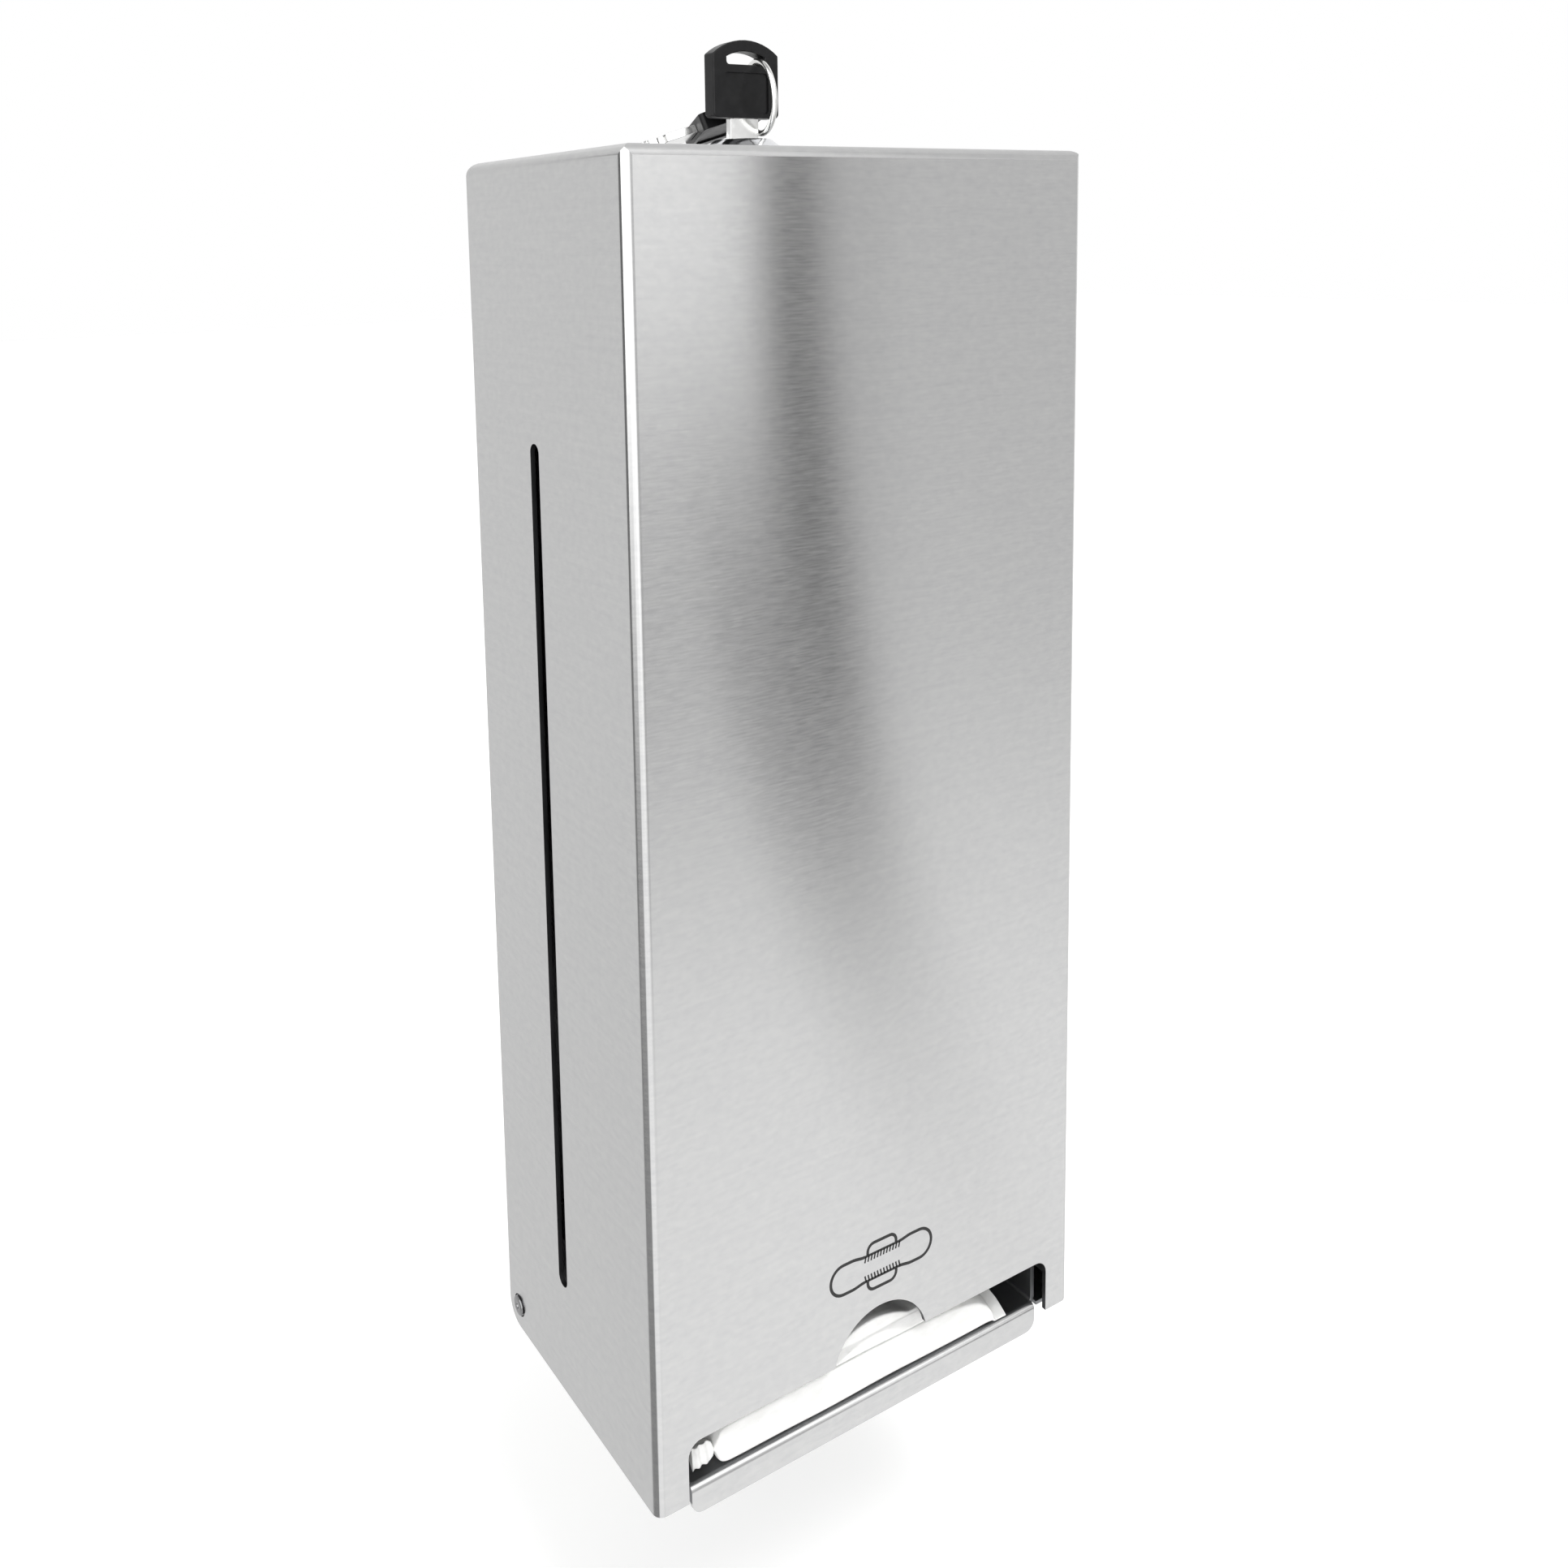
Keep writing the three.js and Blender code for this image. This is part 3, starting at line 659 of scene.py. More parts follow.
@dataclass
class Cover:
    """The folded cover with its etched pictogram, and the lock body on its top."""

    edge_break_mm: float = 0.22
    front_mm: float = -76.0
    half_width_mm: float = 62.5
    top_mm: float = 148.0
    skin_mm: float = 0.9
    bend_mm: float = 2.7
    side_start_mm: float = 4.5
    # Which directions the bend along the top, the top and a cut edge face
    bend_rise: Pair = (0.04, 0.97)
    bend_forward: float = -0.2
    top_rise: float = 0.75
    cut_slope: float = 0.5

    mark_height_mm: float = 0.02
    mark_centre_mm: Pair = (0.3, -112.1)
    mark_line_mm: float = 0.76
    end_radius_mm: float = 3.7
    end_centre_mm: float = 11.5
    end_steps: int = 16
    waist_mm: float = 3.2
    waist_over_mm: float = 0.9
    neck_over_mm: float = 4.6
    neck_steps: int = 6
    wing_half_mm: float = 4.3
    wing_top_mm: float = 5.9
    wing_corner_mm: float = 1.9
    wing_gap_mm: float = 0.2
    corner_steps: int = 6
    seam_share: float = 0.8
    stitches: int = 12
    stitch_pitch_mm: float = 0.93
    stitch_start_mm: float = 0.4
    stitch_mm: Pair = (0.35, 1.5)
    stitch_share: float = 0.55

    def build(self) -> None:
        """Makes the shell, the pictogram and the lock's fixed pieces."""
        shell = eased(
            "cover_sheet", "cover_shell", SHEET_LEVEL, "cover", self.edge_break_mm
        )
        for finish in (SHEET_DEPTH, MILL_SHEET_WITH_PAINTED_SHADE, CUT_EDGE_WITH_PAINTED_SHADE, SHEET_BEND_WITH_PAINTED_SHADE):
            shell.data.materials.append(finish.material())
        for face in shell.data.polygons:
            face.material_index = self.side_of_sheet(face)
        self.pictogram()
        for node, finish, slot, rounding in (
            ("lock_housing", LOCK_CHROME, Slot.CHROME, 0.18),
            ("lock_washer", CAM_ZINC, Slot.ZINC, 0.1),
            ("lock_nut", CAM_ZINC, Slot.ZINC, 0.3),
        ):
            eased(node + "_bright", node, finish, "cover", rounding)

    def side_of_sheet(self, face: bpy.types.MeshPolygon) -> int:
        """Which finish a face of the shell has.

        Args:
            face: The face.

        Returns:
            4 for the bend along the top, a little darker as painted shade, 3 for cut edges, dark as
            painted shade,
            2 for the unground inside, darkened as painted shade, 1 for the top and 0 for the other
            faces.
        """
        place, normal = face.center / MM, face.normal
        within = abs(place.x) < self.half_width_mm - self.skin_mm
        behind = place.y > self.front_mm + self.skin_mm
        if within and behind and place.z < self.top_mm - self.skin_mm:
            return 2
        if self.is_cut(place, normal):
            return 3
        low, high = self.bend_rise
        leaning = low < normal.z < high and normal.y < self.bend_forward
        if place.z > self.top_mm - self.bend_mm and leaning:
            return 4
        return 1 if abs(normal.z) > self.top_rise else 0

    def is_cut(self, place: Vector, normal: Vector) -> bool:
        """Whether a face is the cut edge of an opening in the front or of the level slot.

        Args:
            place: The face's middle, in millimetres.
            normal: Its direction.

        Returns:
            True for a face across the sheet's thickness, away from its outer corners.
        """
        skin = self.edge_break_mm * 0.9
        aside, behind = abs(place.x), place.y - self.front_mm
        in_front = behind > skin and aside < self.half_width_mm - self.bend_mm
        in_side = aside < self.half_width_mm - skin and behind > self.side_start_mm
        across = (in_front and abs(normal.y) < self.cut_slope) or (
            in_side and abs(normal.x) < self.cut_slope
        )
        return place.z < self.top_mm - self.bend_mm and across

    def pad_outline(self) -> Path:
        """Outline of the pad symbol's right half: a waist that opens to a round end."""
        start, full = self.wing_half_mm + self.waist_over_mm, self.wing_half_mm + self.neck_over_mm
        neck: Path = []
        for step in range(self.neck_steps + 1):
            share = step / self.neck_steps
            blend = share * share * (3 - 2 * share)
            half = self.waist_mm + (self.end_radius_mm - self.waist_mm) * blend
            neck.append((start + (full - start) * share, half))
        end = arc((self.end_centre_mm, 0.0), self.end_radius_mm, 90.0, -180.0, self.end_steps)
        return neck + end + [(x, -z) for x, z in reversed(neck)]

    def wing_outline(self) -> Path:
        """Outline of one wing of the pad symbol, open at the waist."""
        half, corner = self.wing_half_mm, self.wing_corner_mm
        foot, high = self.waist_mm + self.wing_gap_mm, self.wing_top_mm - corner
        left = arc((corner - half, high), corner, 180.0, -90.0, self.corner_steps)
        right = arc((half - corner, high), corner, 90.0, -90.0, self.corner_steps)
        return [(-half, foot)] + left + right + [(half, foot)]

    def strokes(self) -> list[tuple[Path, float]]:
        """The pad symbol's lines, each with its width."""
        lobe, wing, line = self.pad_outline(), self.wing_outline(), self.mark_line_mm
        drawn = [(lobe, line), ([(-x, z) for x, z in lobe], line)]
        drawn += [(wing, line), ([(x, -z) for x, z in wing], line)]
        reach = self.wing_half_mm + self.waist_over_mm
        slant, length = self.stitch_mm
        for side in (-1, 1):
            waist = side * self.waist_mm
            drawn.append(([(-reach, waist), (reach, waist)], line * self.seam_share))
            for index in range(self.stitches):
                start = -reach + self.stitch_start_mm + index * self.stitch_pitch_mm
                stitch = [(start, waist), (start - slant, waist - side * length)]
                drawn.append((stitch, line * self.stitch_share))
        return drawn

    def pictogram(self) -> None:
        """Etches a plain outline of a winged pad above the opening."""
        vertices: list[Point] = []
        faces: Faces = []
        middle, high = self.mark_centre_mm
        y = (self.front_mm - self.mark_height_mm) * MM
        for path, width in self.strokes():
            points, quads = ribbon(path, width)
            base = len(vertices)
            vertices += [((middle + x) * MM, y, (high + z) * MM) for x, z in points]
            faces += [tuple(base + i for i in quad) for quad in quads]
        mesh = bpy.data.meshes.new("pad_symbol")
        mesh.from_pydata(vertices, [], faces)
        mark = shown("pad_symbol", mesh, ETCHED, "cover")
        depth = mark.modifiers.new("line depth", "SOLIDIFY")
        depth.thickness = self.mark_height_mm * MM * 0.9
        depth.offset = 0.0


@dataclass
class Chassis:
    """The wall plate, the pad tray with the strips beside it, and the two hinge pins."""

    edge_break_mm: float = 0.2
    skirt_mm: float = -73.1

    strip_reach_mm: Pair = (53.5, 60.8)
    strip_ends_mm: Pair = (-73.4, -14.0)
    strip_low_mm: float = -147.9
    strip_lip_mm: float = 3.4
    strip_bend_mm: float = 1.6
    strip_sheet_mm: float = 1.0
    bend_steps: int = 5

    pin_steps: int = 64
    pin_head_mm: float = 1.5
    pin_step_mm: float = 1.5
    pin_break_mm: float = 0.2
    # The turned outer end, as distances in from the shank and back from the tip
    pin_end_mm: tuple[Pair, ...] = (
        (0.0, 0.72), (0.3, 0.62), (0.3, 0.45), (0.08, 0.36), (0.2, 0.16), (0.6, 0.05), (1.1, 0.0),
    )
    # Its centre hole, as radii and distances back from the tip
    pin_hole_mm: tuple[Pair, ...] = ((0.8, 0.0), (0.66, 0.06), (0.5, 0.45))
    pin_hole_depth_mm: float = 0.5

    def build(self) -> None:
        """Makes the fixed pieces that the cover closes over."""
        for node, finish, slot in (
            ("back_plate", MILL_SHEET_WITH_PAINTED_SHADE, Slot.PLAIN),
            ("pad_tray", SHEET_LEVEL, Slot.SHEET),
            ("lock_strike", MILL_SHEET_WITH_PAINTED_SHADE, Slot.PLAIN),
        ):
            piece = eased(node + "_sheet", node, finish, "chassis", self.edge_break_mm)
            if node == "pad_tray":
                # Behind its skirt the tray is mill sheet, darkened as painted shade for the hollow
                # under the packs
                piece.data.materials.append(MILL_SHEET_WITH_PAINTED_SHADE.material())
                for face in piece.data.polygons:
                    face.material_index = int(face.center.y / MM > self.skirt_mm)
        for side, name in ((-1, "left"), (1, "right")):
            self.closing_strip("tray_strip_" + name, side)
            self.pin("hinge_pin_" + name, side)

    def closing_strip(self, name: str, side: int) -> None:
        """A strip that closes the gap from the tray out to the cover, its edge turned up.

        Args:
            name: The strip's name.
            side: -1 for the left strip, 1 for the right one.
        """
        inner, outer = self.strip_reach_mm
        low, bend, sheet = self.strip_low_mm, self.strip_bend_mm, self.strip_sheet_mm
        lip = low + self.strip_lip_mm
        centre = (outer - bend, low + bend)
        section = [(inner, low)] + arc(centre, bend, -90.0, 90.0, self.bend_steps)
        section += [(outer, lip), (outer - sheet, lip)]
        section += arc(centre, bend - sheet, 0.0, -90.0, self.bend_steps)
        section.append((inner, low + sheet))
        points = [(side * x, y, z) for y in self.strip_ends_mm for x, z in section]
        faces = tube_faces(2, len(section)) + end_faces(2, len(section))
        shown(name, closed_mesh(name, points, faces), MILL_SHEET_WITH_PAINTED_SHADE, "chassis")

    def pin(self, node: str, side: int) -> None:
        """A headed pin whose outer end is domed and centre-drilled, as turned pins are.

        Args:
            node: The pin's solid.
            side: -1 for the left pin, 1 for the right one.
        """
        low, high = (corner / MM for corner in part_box(node))
        length, radius = high.x - low.x, (high.z - low.z) / 2
        shank, head, eased_by = radius - self.pin_step_mm, self.pin_head_mm, self.pin_break_mm
        profile = [(radius - eased_by, 0.0), (radius, eased_by), (radius, head - eased_by)]
        profile += [(radius - eased_by, head), (shank, head)]
        profile += [(shank - inwards, length - back) for inwards, back in self.pin_end_mm]
        profile += [(hole, length - back) for hole, back in self.pin_hole_mm]
        inner = high.x if side < 0 else low.x
        y, z = (low.y + high.y) / 2, (low.z + high.z) / 2
        points: list[Point] = []
        for reach, along in profile:
            ring = arc((y, z), reach, 0.0, 360.0, self.pin_steps)[:-1]
            points += [(inner + side * along, across, above) for across, above in ring]
        rings, count = len(profile), self.pin_steps
        faces = tube_faces(rings, count)
        for ring, along in ((0, 0.0), (rings - 1, length - self.pin_hole_depth_mm)):
            tip = len(points)
            points.append((inner + side * along, y, z))
            faces += [(ring * count + i, ring * count + (i + 1) % count, tip) for i in range(count)]
        mesh = closed_mesh(node + "_turned", points, faces)
        shown(node + "_turned", mesh, PIN_STEEL, "chassis", [node])


@dataclass
class LockRotor:
    """The plug that the key turns, with its cam, washer and screw."""

    edge_break_mm: float = 0.15

    def build(self) -> None:
        """Makes the pieces that turn in the lock body."""
        for node, finish, slot in (
            ("lock_plug", LOCK_CHROME, Slot.CHROME),
            ("lock_cam", CAM_ZINC, Slot.ZINC),
            ("cam_washer", CAM_ZINC, Slot.ZINC),
            ("cam_screw", CAM_ZINC, Slot.ZINC),
        ):
            eased(node + "_turning", node, finish, "lock_rotor", self.edge_break_mm)


@dataclass
class Keys:
    """Two keys with moulded heads, and the ring that holds the spare."""

    head_break_mm: float = 0.9
    edge_break_mm: float = 0.12
    ring_radius_mm: float = 8.6
    wire_mm: float = 0.75
    ring_steps: int = 96
    wire_steps: int = 16

    def build(self) -> None:
        """Makes both keys and the ring."""
        for key in ("key", "spare_key"):
            blade, head = key + "_blade", key + "_head"
            eased(key + "_metal", blade, BLADE_NICKEL, key, self.edge_break_mm)
            eased(
                key + "_grip", head, KEY_ABS, key, self.edge_break_mm,
                self.head_break_mm,
            )
        self.ring()

    def ring(self) -> None:
        """Makes the ring from the solid's own place, with a finer wire section."""
        points = [Vector(v.co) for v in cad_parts["key_ring"].data.vertices]
        centre = sum(points, Vector()) / len(points)
        axis = self.ring_axis([point - centre for point in points])
        side = axis.orthogonal().normalized()
        up = axis.cross(side).normalized()
        wire = arc((self.ring_radius_mm, 0.0), self.wire_mm, 0.0, 360.0, self.wire_steps)[:-1]
        vertices = []
        for across, above in arc((0.0, 0.0), 1.0, 0.0, 360.0, self.ring_steps)[:-1]:
            radial = side * across + up * above
            vertices += [centre / MM + radial * reach + axis * rise for reach, rise in wire]
        faces = tube_faces(self.ring_steps, self.wire_steps, joined=True)
        mesh = closed_mesh("key_ring_wire", vertices, faces)
        shown("key_ring_wire", mesh, RING_NICKEL, "ring", ["key_ring"])

    def ring_axis(self, arms: Sequence[Vector]) -> Vector:
        """The ring's axis, square to two directions across it.

        Args:
            arms: The way from the ring's middle to each of its points.

        Returns:
            A unit vector.
        """
        first = max(arms, key=lambda arm: arm.length).normalized()
        # The weight picks a far point that lies square to the first direction
        second = max(arms, key=lambda arm: arm.length - 4 * abs(arm.dot(first)))
        return first.cross(second.normalized()).normalized()


@dataclass
class FilmPack:
    """One folded pad in heat-sealed film, worked out in millimetres.

    Its methods take x along the pack, y across it and z above it, from its middle. Swell
    is 1 where the pad fills the film and 0 in the seals.
    """

    index: int
    low: Vector
    high: Vector

    steps_along: int = 150
    side_steps: tuple[int, int] = (34, 7)
    corner_steps: int = 6
    # The next three pairs are for the left and the right end
    end_seal_mm: Pair = (6.2, 4.0)
    end_inset_mm: Pair = (0.8, 0.0)
    swell_power: Pair = (34.0, 6.0)
    joint_radius_mm: float = 0.5
    bottom_radius_mm: float = 1.1
    most_round: float = 0.96
    film_edge_mm: float = 0.22
    clearance_mm: float = 0.05
    sharp_degrees: float = 60.0

    # Dents and creases: waves per millimetre, and how deep they are
    dent_rate: Point = (0.045, 0.06, 0.25)
    crease_rate: Point = (0.16, 0.3, 0.2)
    crease_slant: float = 0.05
    # How far the dents, the creases and the pleats' sway are shifted from pack to pack
    shifts: Point = (3.1, 5.7, 2.3)
    crease_depth_mm: float = 0.22
    dent_level: float = 0.5
    # Beside the seals the film lies deeper, evenly and by its creases
    end_level: Pair = (0.6, 2.4)
    front_bulge_mm: float = 0.25
    # How closely the dents keep to the front and back, and to the top and bottom
    side_power: tuple[int, int] = (6, 3)

    # The gathered ends: the heights are for the left and the right one
    pleat_reach_mm: float = 10.0
    pleat_pitch_mm: float = 4.6
    pleat_height_mm: Pair = (1.1, 0.35)
    pleat_sharpness: float = 0.95
    pleat_left: float = 0.7
    # The pleats sway along and across the pack, in place and in height
    sway_rate: Pair = (0.25, 0.11)
    sway_share: Pair = (0.5, 0.3)

    tab_half_mm: float = 3.1
    tab_length_mm: float = 4.6
    tab_neck_mm: float = 1.4
    tab_fold_mm: float = 0.55
    tab_fold_pitch_mm: float = 1.9
    # How far the tab reaches behind the pack's front, as a gain and a power
    tab_front: tuple[float, int] = (1.35, 14)
    seal_rise_mm: float = 3.0
    seal_slope: float = 0.5
    seal_foot_mm: float = 0.35
    # The upper pack's top at the dispenser's middle, and beyond the crown's reach
    crown_drop_mm: Pair = (1.7, 4.4)
    crown_reach_mm: float = 11.0
    dish_mm: float = 1.2
    dish_reach_mm: float = 5.0

    def __post_init__(self) -> None:
        """Works out the pack's middle and half its size."""
        self.centre, self.half = (self.low + self.high) / 2, (self.high - self.low) / 2

    def section(self, half_depth: float, half_height: float) -> Path:
        """A rounded oblong across the pack.

        Args:
            half_depth: Half its depth.
            half_height: Half its height.

        Returns:
            Points (y, z) in order around it, always the same number.
        """
        under = self.bottom_radius_mm if self.index == 1 else self.joint_radius_mm
        most = half_height * self.most_round
        top, bottom = min(self.joint_radius_mm, most), min(under, most)
        rounds = []
        for quarter, (side, up) in enumerate(((1, 1), (-1, 1), (-1, -1), (1, -1))):
            r = top if up > 0 else bottom
            centre = (side * (half_depth - r), up * (half_height - r))
            rounds.append(arc(centre, r, 90.0 * quarter, 90.0, self.corner_steps))
        points: Path = []
        for quarter, corner in enumerate(rounds):
            points += corner
            (y, z), goal = corner[-1], rounds[(quarter + 1) % 4][0]
            count = self.side_steps[quarter % 2]
            for share in (step / count for step in range(1, count)):
                points.append((y + (goal[0] - y) * share, z + (goal[1] - z) * share))
        return points

    def mesh(self) -> bpy.types.Mesh:
        """The pack's closed mesh: a flat pillow whose ends are sealed flat and pleated."""
        half = self.half
        points: list[Point] = []
        rings = self.steps_along + 1
        for station in range(rings):
            x = -half.x * math.cos(math.pi * station / self.steps_along)
            inside = min(abs(x) / (half.x - self.end_seal_mm[x >= 0]), 1.0)
            swell = math.sqrt(max(0.0, 1 - inside ** self.swell_power[x > 0]))
            height = self.film_edge_mm + (half.z - self.film_edge_mm) * swell
            depth = half.y - self.end_inset_mm[x >= 0] * (1 - swell)
            points += [self.film_point(x, y, z, swell) for y, z in self.section(depth, height)]
        count = len(points) // rings
        faces = tube_faces(rings, count) + end_faces(rings, count)
        return closed_mesh(f"film_pack_{self.index}", points, faces, self.sharp_degrees)

    def film_point(self, x: float, y: float, z: float, swell: float) -> Point:
        """Moves a point of the plain section to where the loose film lies.

        Args:
            x: The point's place along the pack.
            y: Its place across it.
            z: Its place above the middle.
            swell: How full the film is there.

        Returns:
            The point's place in the row frame, in millimetres.
        """
        centre, half = self.centre, self.half
        from_seal = half.x - self.end_seal_mm[x >= 0] - abs(x)
        near_end = min(max(1 - from_seal / self.pleat_reach_mm, 0.0), 1.0) ** 2
        inward = max(0.0, self.dent(x, y, z, near_end) * swell)
        belly = self.front_bulge_mm * min(1.0, abs(z) / half.z) ** 2 * swell
        y_share, z_share = y / half.y, z / half.z
        y_power, z_power = self.side_power
        y -= math.copysign((inward + belly) * abs(y_share) ** y_power, y)
        z -= math.copysign(inward * abs(z_share) ** z_power, z)
        lift = self.pleat(x, y) * near_end * (1 - self.pleat_left * swell)
        if x < 0:
            lift *= 1 - max(0.0, -y_share) ** y_power
            y, z = self.tab(x, y, z, swell)
        else:
            # The right seal's front edge lies on what is under it, and it rises behind that
            rise = min(self.seal_rise_mm, self.seal_slope * (y + half.y))
            z -= (half.z - self.film_edge_mm - self.seal_foot_mm - rise) * (1 - swell)
        z += lift
        if self.index > 1 and z > 0:
            z -= self.top_drop(centre.x + x, y + half.y) * swell
        limit = half.z - self.clearance_mm
        return (centre.x + x, centre.y + y, centre.z + max(-limit, min(limit, z)))

    def dent(self, x: float, y: float, z: float, near_end: float) -> float:
        """How far the loose film lies inside the pack's plain section.

        Args:
            x: The point's place along the pack.
            y: Its place across it.
            z: Its place above the middle.
            near_end: 1 beside the seals, 0 away from them.

        Returns:
            The depth, below 0 where the film stands out.
        """
        wide, slanted = self.dent_rate, self.crease_rate
        above, deep = (self.index * shift for shift in self.shifts[:2])
        broad = noise.noise(Vector((x * wide[0], y * wide[1], z * wide[2] + above)))
        along = x * slanted[0] + y * self.crease_slant
        fold = noise.noise(Vector((along, y * slanted[1], z * slanted[2] + deep)))
        even, folded = self.end_level
        return self.crease_depth_mm * (self.dent_level + broad + near_end * (even + folded * fold))

    def top_drop(self, x: float, behind: float) -> float:
        """How far the upper pack's top lies under its space: it is crowned and sags behind.

        Args:
            x: Place from the dispenser's middle.
            behind: Distance behind the pack's front.

        Returns:
            The drop.
        """
        middle, aside = self.crown_drop_mm
        away = min(1.0, abs(x) / self.crown_reach_mm)
        sag = self.dish_mm * min(1.0, behind / self.dish_reach_mm)
        return middle + (aside - middle) * away * away + sag

    def pleat(self, x: float, y: float) -> float:
        """How far the gathered end stands above the pack's middle.

        Args:
            x: The point's place along the pack.
            y: Its place across it.

        Returns:
            The height.
        """
        along, across = self.sway_rate
        sway = noise.noise(Vector((x * along, y * across, self.index * self.shifts[2])))
        shift, share = self.sway_share
        phase = 2 * math.pi * ((y + self.half.y) / self.pleat_pitch_mm + shift * sway)
        wave = -math.asin(self.pleat_sharpness * math.cos(phase)) * 2 / math.pi
        return self.pleat_height_mm[x >= 0] * (wave + share * sway)

    def tab(self, x: float, y: float, z: float, swell: float) -> Pair:
        """Turns the front of the left seal up and down into a folded tab.

        Args:
            x: The point's place along the pack.
            y: Its place across it.
            z: Its place above the middle.
            swell: How full the film is there.

        Returns:
            The new place across and above.
        """
        half = self.half
        from_tip = half.x + x
        gain, power = self.tab_front
        front = min(1.0, gain * max(0.0, -y / half.y) ** power) * (1 - swell)
        left = self.tab_length_mm + self.tab_neck_mm - from_tip
        tall = min(1.0, max(0.0, left / self.tab_neck_mm))
        tall *= tall * (3 - 2 * tall)
        reach = self.film_edge_mm + (half.z - self.film_edge_mm) * swell
        z += (z / reach * self.tab_half_mm - z) * front * tall
        fold = 0.5 + 0.5 * math.sin(2 * math.pi * from_tip / self.tab_fold_pitch_mm + z * 0.5)
        return y + self.tab_fold_mm * fold * front, z


@dataclass
class PadPacks:
    """The film packs in the tray, from the lowest up, each with the body it rides on."""

    bodies: tuple[str, ...] = ("lowest_pad", "chassis")

    def build(self) -> None:
        """Makes every pack from its solid's box."""
        for index, body in enumerate(self.bodies, start=1):
            node = f"wrapped_pad_{index}"
            low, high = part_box(node)
            mesh = FilmPack(index, low / MM, high / MM).mesh()
            piece = shown(f"film_pack_{index}", mesh, PACK_WRAP, body, [node])


@dataclass(frozen=True)
class Glow:
    """A patch of the room that polished metal reflects, by its direction from the object.

    Azimuth 0 is straight in front of the dispenser and grows to its right. A patch that
    leans moves by that many degrees of azimuth for each degree of elevation.
    """

    name: str
    azimuth: Pair
    elevation: Pair
    soft: Pair
    level: float
    lean: float = 0.0

    def mask(self, tree: Tree, around: Socket, rise: Socket) -> Socket:
        """1 inside the patch and 0 outside it, with soft edges.

        Args:
            tree: The world's node tree.
            around: The direction's azimuth.
            rise: Its elevation.

        Returns:
            The mask's socket.
        """
        aside = combine(tree, "MULTIPLY_ADD", rise, -self.lean, around) if self.lean else around
        inside: Socket | None = None
        for angle, (start, end), soft in (
            (aside, self.azimuth, self.soft[0]),
            (rise, self.elevation, self.soft[1]),
        ):
            for edge, sign in ((start, 1), (end, -1)):
                limits = {
                    "From Min": math.radians(edge - sign * soft),
                    "From Max": math.radians(edge + sign * soft),
                }
                step = add_node(
                    tree, "MapRange", limits, {"Value": angle}, interpolation_type="SMOOTHSTEP"
                ).outputs["Result"]
                inside = combine(tree, "MULTIPLY", inside, step) if inside else step
        return inside


ROOM = (
    Glow("white wall to the left", (-190.0, -120.0), (-80.0, 60.0), (4.0, 8.0), 0.84),
    Glow("dark wall edge", (-124.0, -103.0), (-30.0, 60.0), (3.0, 20.0), 0.2),
    Glow("grey floor to the left", (-122.0, -50.0), (-80.0, -14.0), (7.0, 8.0), 0.3),
    Glow("pale floor to the left", (-50.0, 2.0), (-80.0, -14.0), (7.0, 8.0), 1.2),
    Glow("left soft box", (-102.0, 2.0), (-8.0, 62.0), (3.0, 7.0), 2.3),
    Glow("window beside the camera", (-1.0, 10.0), (-5.0, 62.0), (2.5, 8.0), 1.7),
    Glow("shade beside the window", (10.0, 27.5), (-26.0, 14.0), (2.0, 6.0), 0.72),
    Glow("white floor in front", (10.0, 70.0), (-80.0, -26.0), (4.0, 8.0), 1.2),
    Glow("white wall in front", (27.5, 36.0), (-5.0, 20.0), (2.0, 4.0), 1.34),
    Glow("overhead soft box", (8.0, 33.5), (16.0, 66.0), (2.0, 5.0), 1.35),
    Glow("ceiling in front", (33.5, 80.0), (16.0, 66.0), (2.0, 5.0), 0.72),
    Glow("lamp above the camera", (20.0, 40.5), (25.0, 52.0), (2.0, 3.0), 2.3),
    Glow("grey wall to the right", (37.0, 75.0), (-19.0, 12.0), (0.6, 5.0), 0.74),
    Glow("shade on the wall", (12.0, 37.8), (-21.5, -6.5), (0.8, 4.0), 0.5),
    Glow("leaning panel", (30.0, 35.6), (-22.0, -11.0), (0.5, 3.5), 0.25, lean=-0.17),
    Glow("dark doorway", (34.8, 37.2), (-14.0, 15.0), (0.9, 3.0), 0.14, lean=-0.02),
    Glow("doorway sill", (35.3, 38.4), (-24.5, -10.0), (0.9, 3.5), 0.12),
    Glow("far door frame", (38.7, 39.4), (-12.0, 14.0), (0.4, 3.5), 0.58),
    Glow("grey ceiling", (-190.0, 190.0), (66.0, 95.0), (4.0, 6.0), 0.4),
)


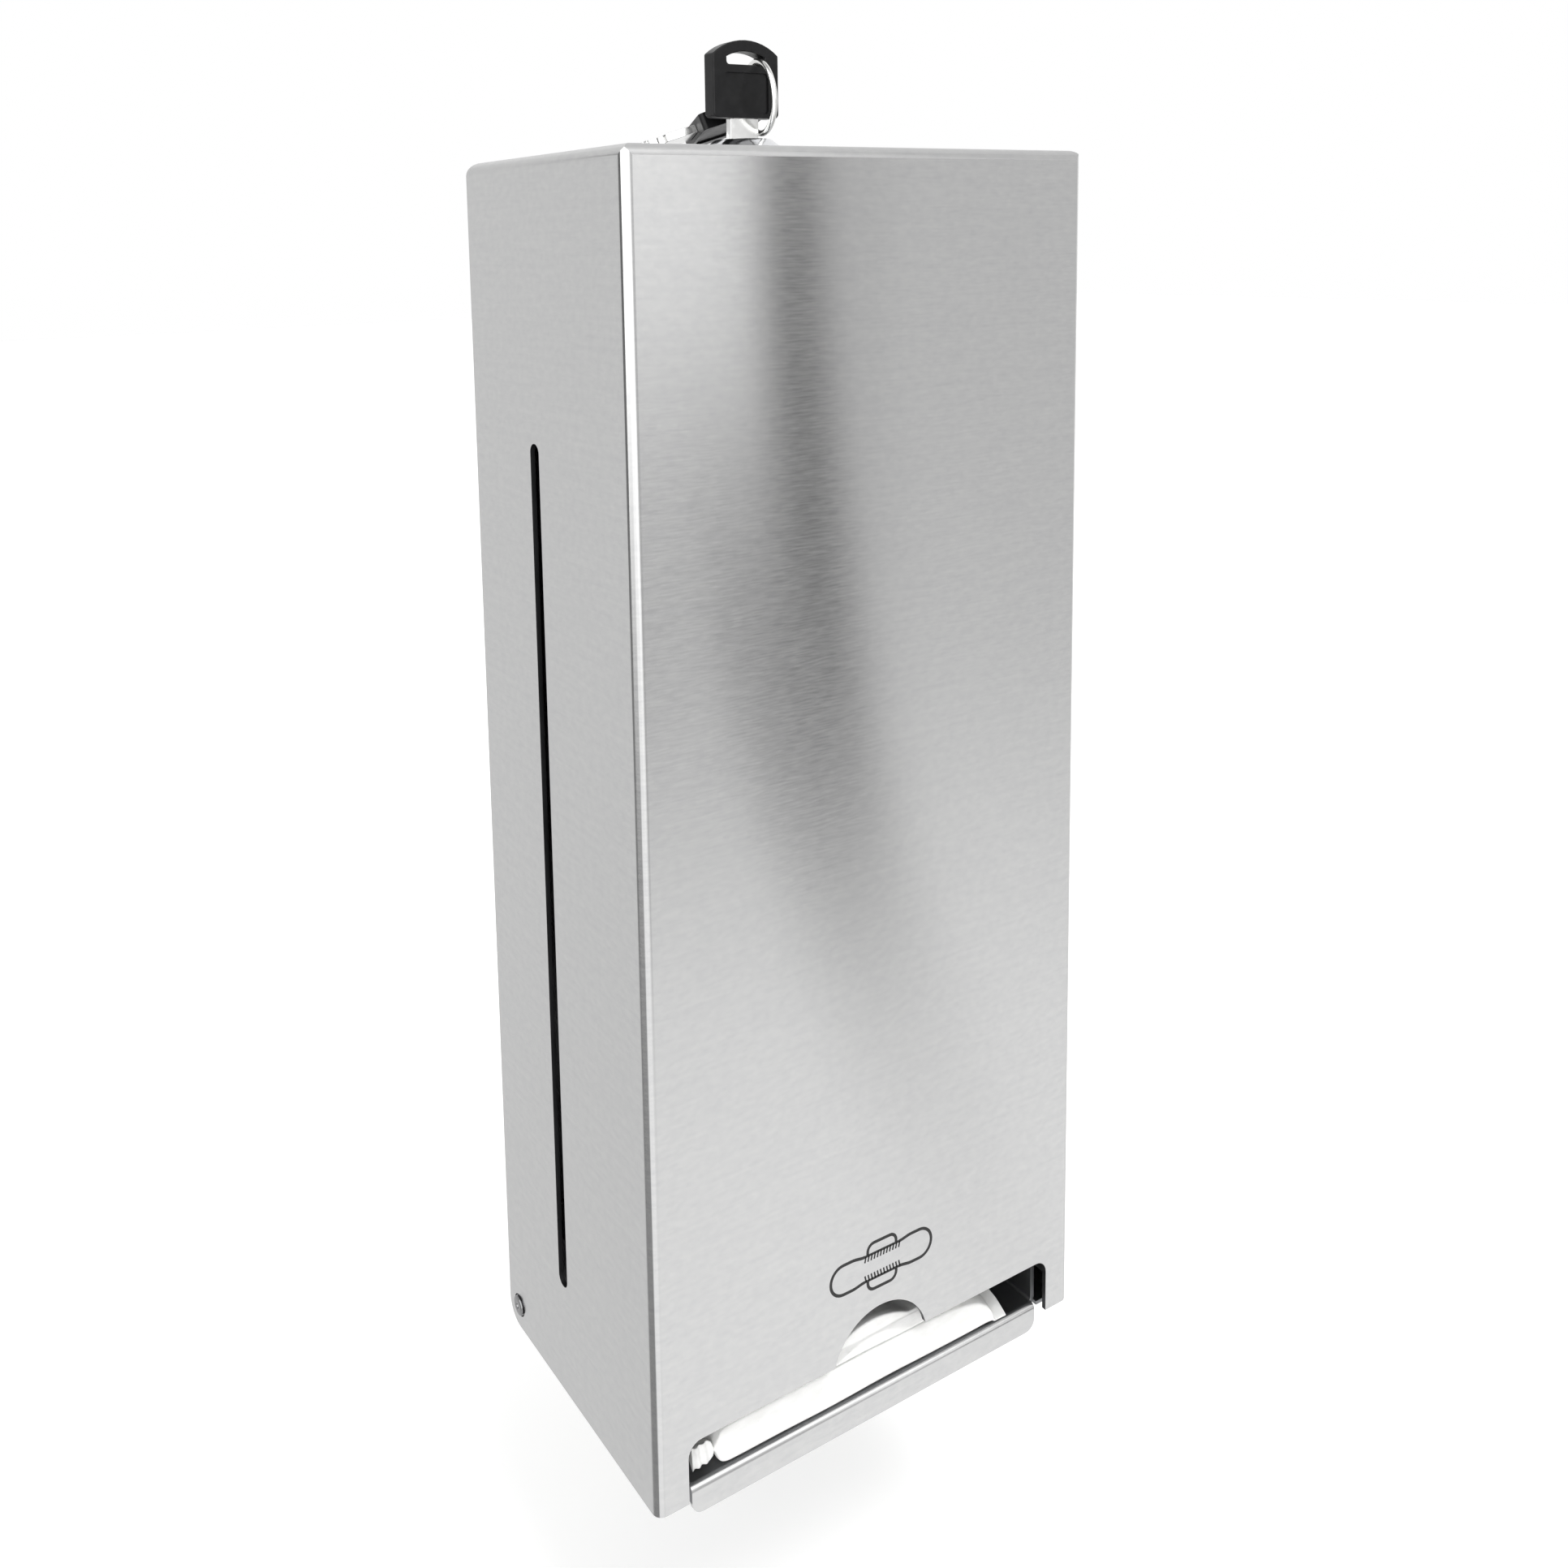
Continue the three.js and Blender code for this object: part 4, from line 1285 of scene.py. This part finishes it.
@dataclass
class Studio:
    """Pale floor, white surroundings, soft lamps and the camera of the photograph."""

    # Low enough for the cover to tilt down
    floor_mm: float = -212.0
    floor_reach_m: float = 6.0
    floor_tone: str = "#EDEDEC"
    floor_roughness: float = 0.75
    floor_lift: Pair = (0.42, 0.66)
    lift_reach_m: float = 0.8
    diffuse_level: float = 0.55
    camera_place: Point = (-0.20332, -0.32631, 0.12892)
    camera_turn: Point = (82.635, 1.237, -31.589)
    focal_px: float = 1809.06
    centre_px: Pair = (839.76, 530.08)
    sensor_mm: float = 36.0
    clip_m: Pair = (0.01, 50.0)

    def build(self) -> None:
        """Makes floor, world, lamps and camera."""
        self.floor()
        self.surroundings()
        self.soft_box("top soft box", (0.25, -0.55, 1.3), (0.9, 0.9), 13.0)
        self.soft_box("left soft box", (-0.9, -1.1, 0.35), (0.7, 1.3), 11.0)
        self.camera()
        bpy.context.scene.view_settings.view_transform = "Standard"

    def seen_by(self, tree: Tree, *rays: str) -> Socket:
        """1 for the named kinds of ray and 0 for the others.

        Args:
            tree: The node tree of a material or world.
            rays: Names of Light Path outputs.

        Returns:
            The switch's socket.
        """
        path = add_node(tree, "LightPath")
        switch = path.outputs[rays[0]]
        for ray in rays[1:]:
            switch = combine(tree, "MAXIMUM", switch, path.outputs[ray])
        return switch

    def floor(self) -> None:
        """A plain pale floor that keeps the object's shadow."""
        reach, z = self.floor_reach_m, self.floor_mm * MM
        square = [(-reach, -reach, z), (reach, -reach, z), (reach, reach, z), (-reach, reach, z)]
        mesh = bpy.data.meshes.new("floor")
        mesh.from_pydata(square, [], [(0, 1, 2, 3)])
        floor = bpy.data.objects.new("floor", mesh)
        bpy.context.scene.collection.objects.link(floor)
        made = bpy.data.materials.new("white laminate floor")
        tree = empty_tree(made)
        place = add_node(tree, "TexCoord").outputs["Object"]
        away = add_node(tree, "VectorMath", {1: (0.0, 0.0, z)}, {0: place}, operation="DISTANCE")
        # The lamps fade with distance: the glow makes up for it, so no edge of the floor shows
        low, high = self.floor_lift
        limits = {"From Max": self.lift_reach_m, "To Min": low, "To Max": high}
        lift = add_node(tree, "MapRange", limits, {"Value": away.outputs["Value"]})
        switch = self.seen_by(tree, "Is Camera Ray", "Is Transmission Ray")
        glow = combine(tree, "MULTIPLY", switch, lift.outputs["Result"])
        shader = add_node(
            tree,
            "BsdfPrincipled",
            {
                "Base Color": linear(self.floor_tone),
                "Roughness": self.floor_roughness,
                "Emission Color": WHITE,
            },
            {"Emission Strength": glow},
        )
        # Metal sees the white room through the floor
        through = add_node(tree, "BsdfTransparent").outputs["BSDF"]
        polished = self.seen_by(tree, "Is Glossy Ray")
        layers = {0: polished, 1: shader.outputs["BSDF"], 2: through}
        surface = add_node(tree, "MixShader", links=layers)
        add_node(tree, "OutputMaterial", links={"Surface": surface.outputs[0]})
        mesh.materials.append(made)

    def surroundings(self) -> None:
        """White for the camera, the room for reflections, a plain level for light."""
        world = bpy.data.worlds.new("white room")
        bpy.context.scene.world = world
        tree = empty_tree(world)
        level = self.room_level(tree)
        polished = self.seen_by(tree, "Is Glossy Ray")
        lit = add_node(tree, "Mix", {2: self.diffuse_level}, {0: polished, 3: level})
        direct = self.seen_by(tree, "Is Camera Ray", "Is Transmission Ray")
        strength = add_node(tree, "Mix", {3: 1.0}, {0: direct, 2: lit.outputs[0]})
        glow = add_node(tree, "Background", {"Color": WHITE}, {"Strength": strength.outputs[0]})
        add_node(tree, "OutputWorld", links={"Surface": glow.outputs["Background"]})

    def room_level(self, tree: Tree) -> Socket:
        """How bright the room is in each direction, for reflections.

        Args:
            tree: The world's node tree.

        Returns:
            The level's socket.
        """
        direction = add_node(tree, "TexCoord").outputs["Generated"]
        parts = add_node(tree, "SeparateXYZ", links={0: direction}).outputs
        ahead = combine(tree, "MULTIPLY", parts["Y"], -1.0)
        around = combine(tree, "ARCTAN2", parts["X"], ahead)
        rise = combine(tree, "ARCSINE", parts["Z"])
        level: Socket | None = None
        for patch in ROOM:
            links = {0: patch.mask(tree, around, rise)}
            if level:
                links[2] = level
            laid = add_node(tree, "Mix", {2: 1.0, 3: patch.level}, links)
            level = laid.outputs[0]
        return level

    def soft_box(self, name: str, place: Point, size: Pair, watts: float) -> None:
        """A rectangular lamp aimed at the object.

        Args:
            name: The lamp's name.
            place: Where it stands, in metres.
            size: Its width and height, in metres.
            watts: Its power.
        """
        light = bpy.data.lights.new(name, "AREA")
        light.shape = "RECTANGLE"
        light.size, light.size_y = size
        light.energy = watts
        lamp = bpy.data.objects.new(name, light)
        bpy.context.scene.collection.objects.link(lamp)
        lamp.location = place
        lamp.rotation_euler = (-Vector(place)).to_track_quat("-Z", "Y").to_euler()
        # Metal reflects the room instead, so the lamps leave no second highlight
        lamp.visible_glossy = False

    def camera(self) -> None:
        """The camera, with the shift that the photograph's framing needs."""
        data = bpy.data.cameras.new("camera")
        data.sensor_width = self.sensor_mm
        data.lens = self.sensor_mm * self.focal_px / PHOTO_SIDE
        data.shift_x = 0.5 - self.centre_px[0] / PHOTO_SIDE
        data.shift_y = self.centre_px[1] / PHOTO_SIDE - 0.5
        data.clip_start, data.clip_end = self.clip_m
        camera = bpy.data.objects.new("camera", data)
        bpy.context.scene.collection.objects.link(camera)
        camera.location = self.camera_place
        camera.rotation_euler = Euler([math.radians(a) for a in self.camera_turn], "XYZ")
        bpy.context.scene.camera = camera


def main() -> None:
    """Builds every sub-assembly and the studio."""
    logging.basicConfig(level=logging.INFO)
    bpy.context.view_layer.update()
    for part in (Cover(), Chassis(), LockRotor(), Keys(), PadPacks(), Studio()):
        log.info("building %s", type(part).__name__)
        part.build()
    bpy.context.view_layer.update()


if __name__ == "__main__":
    main()
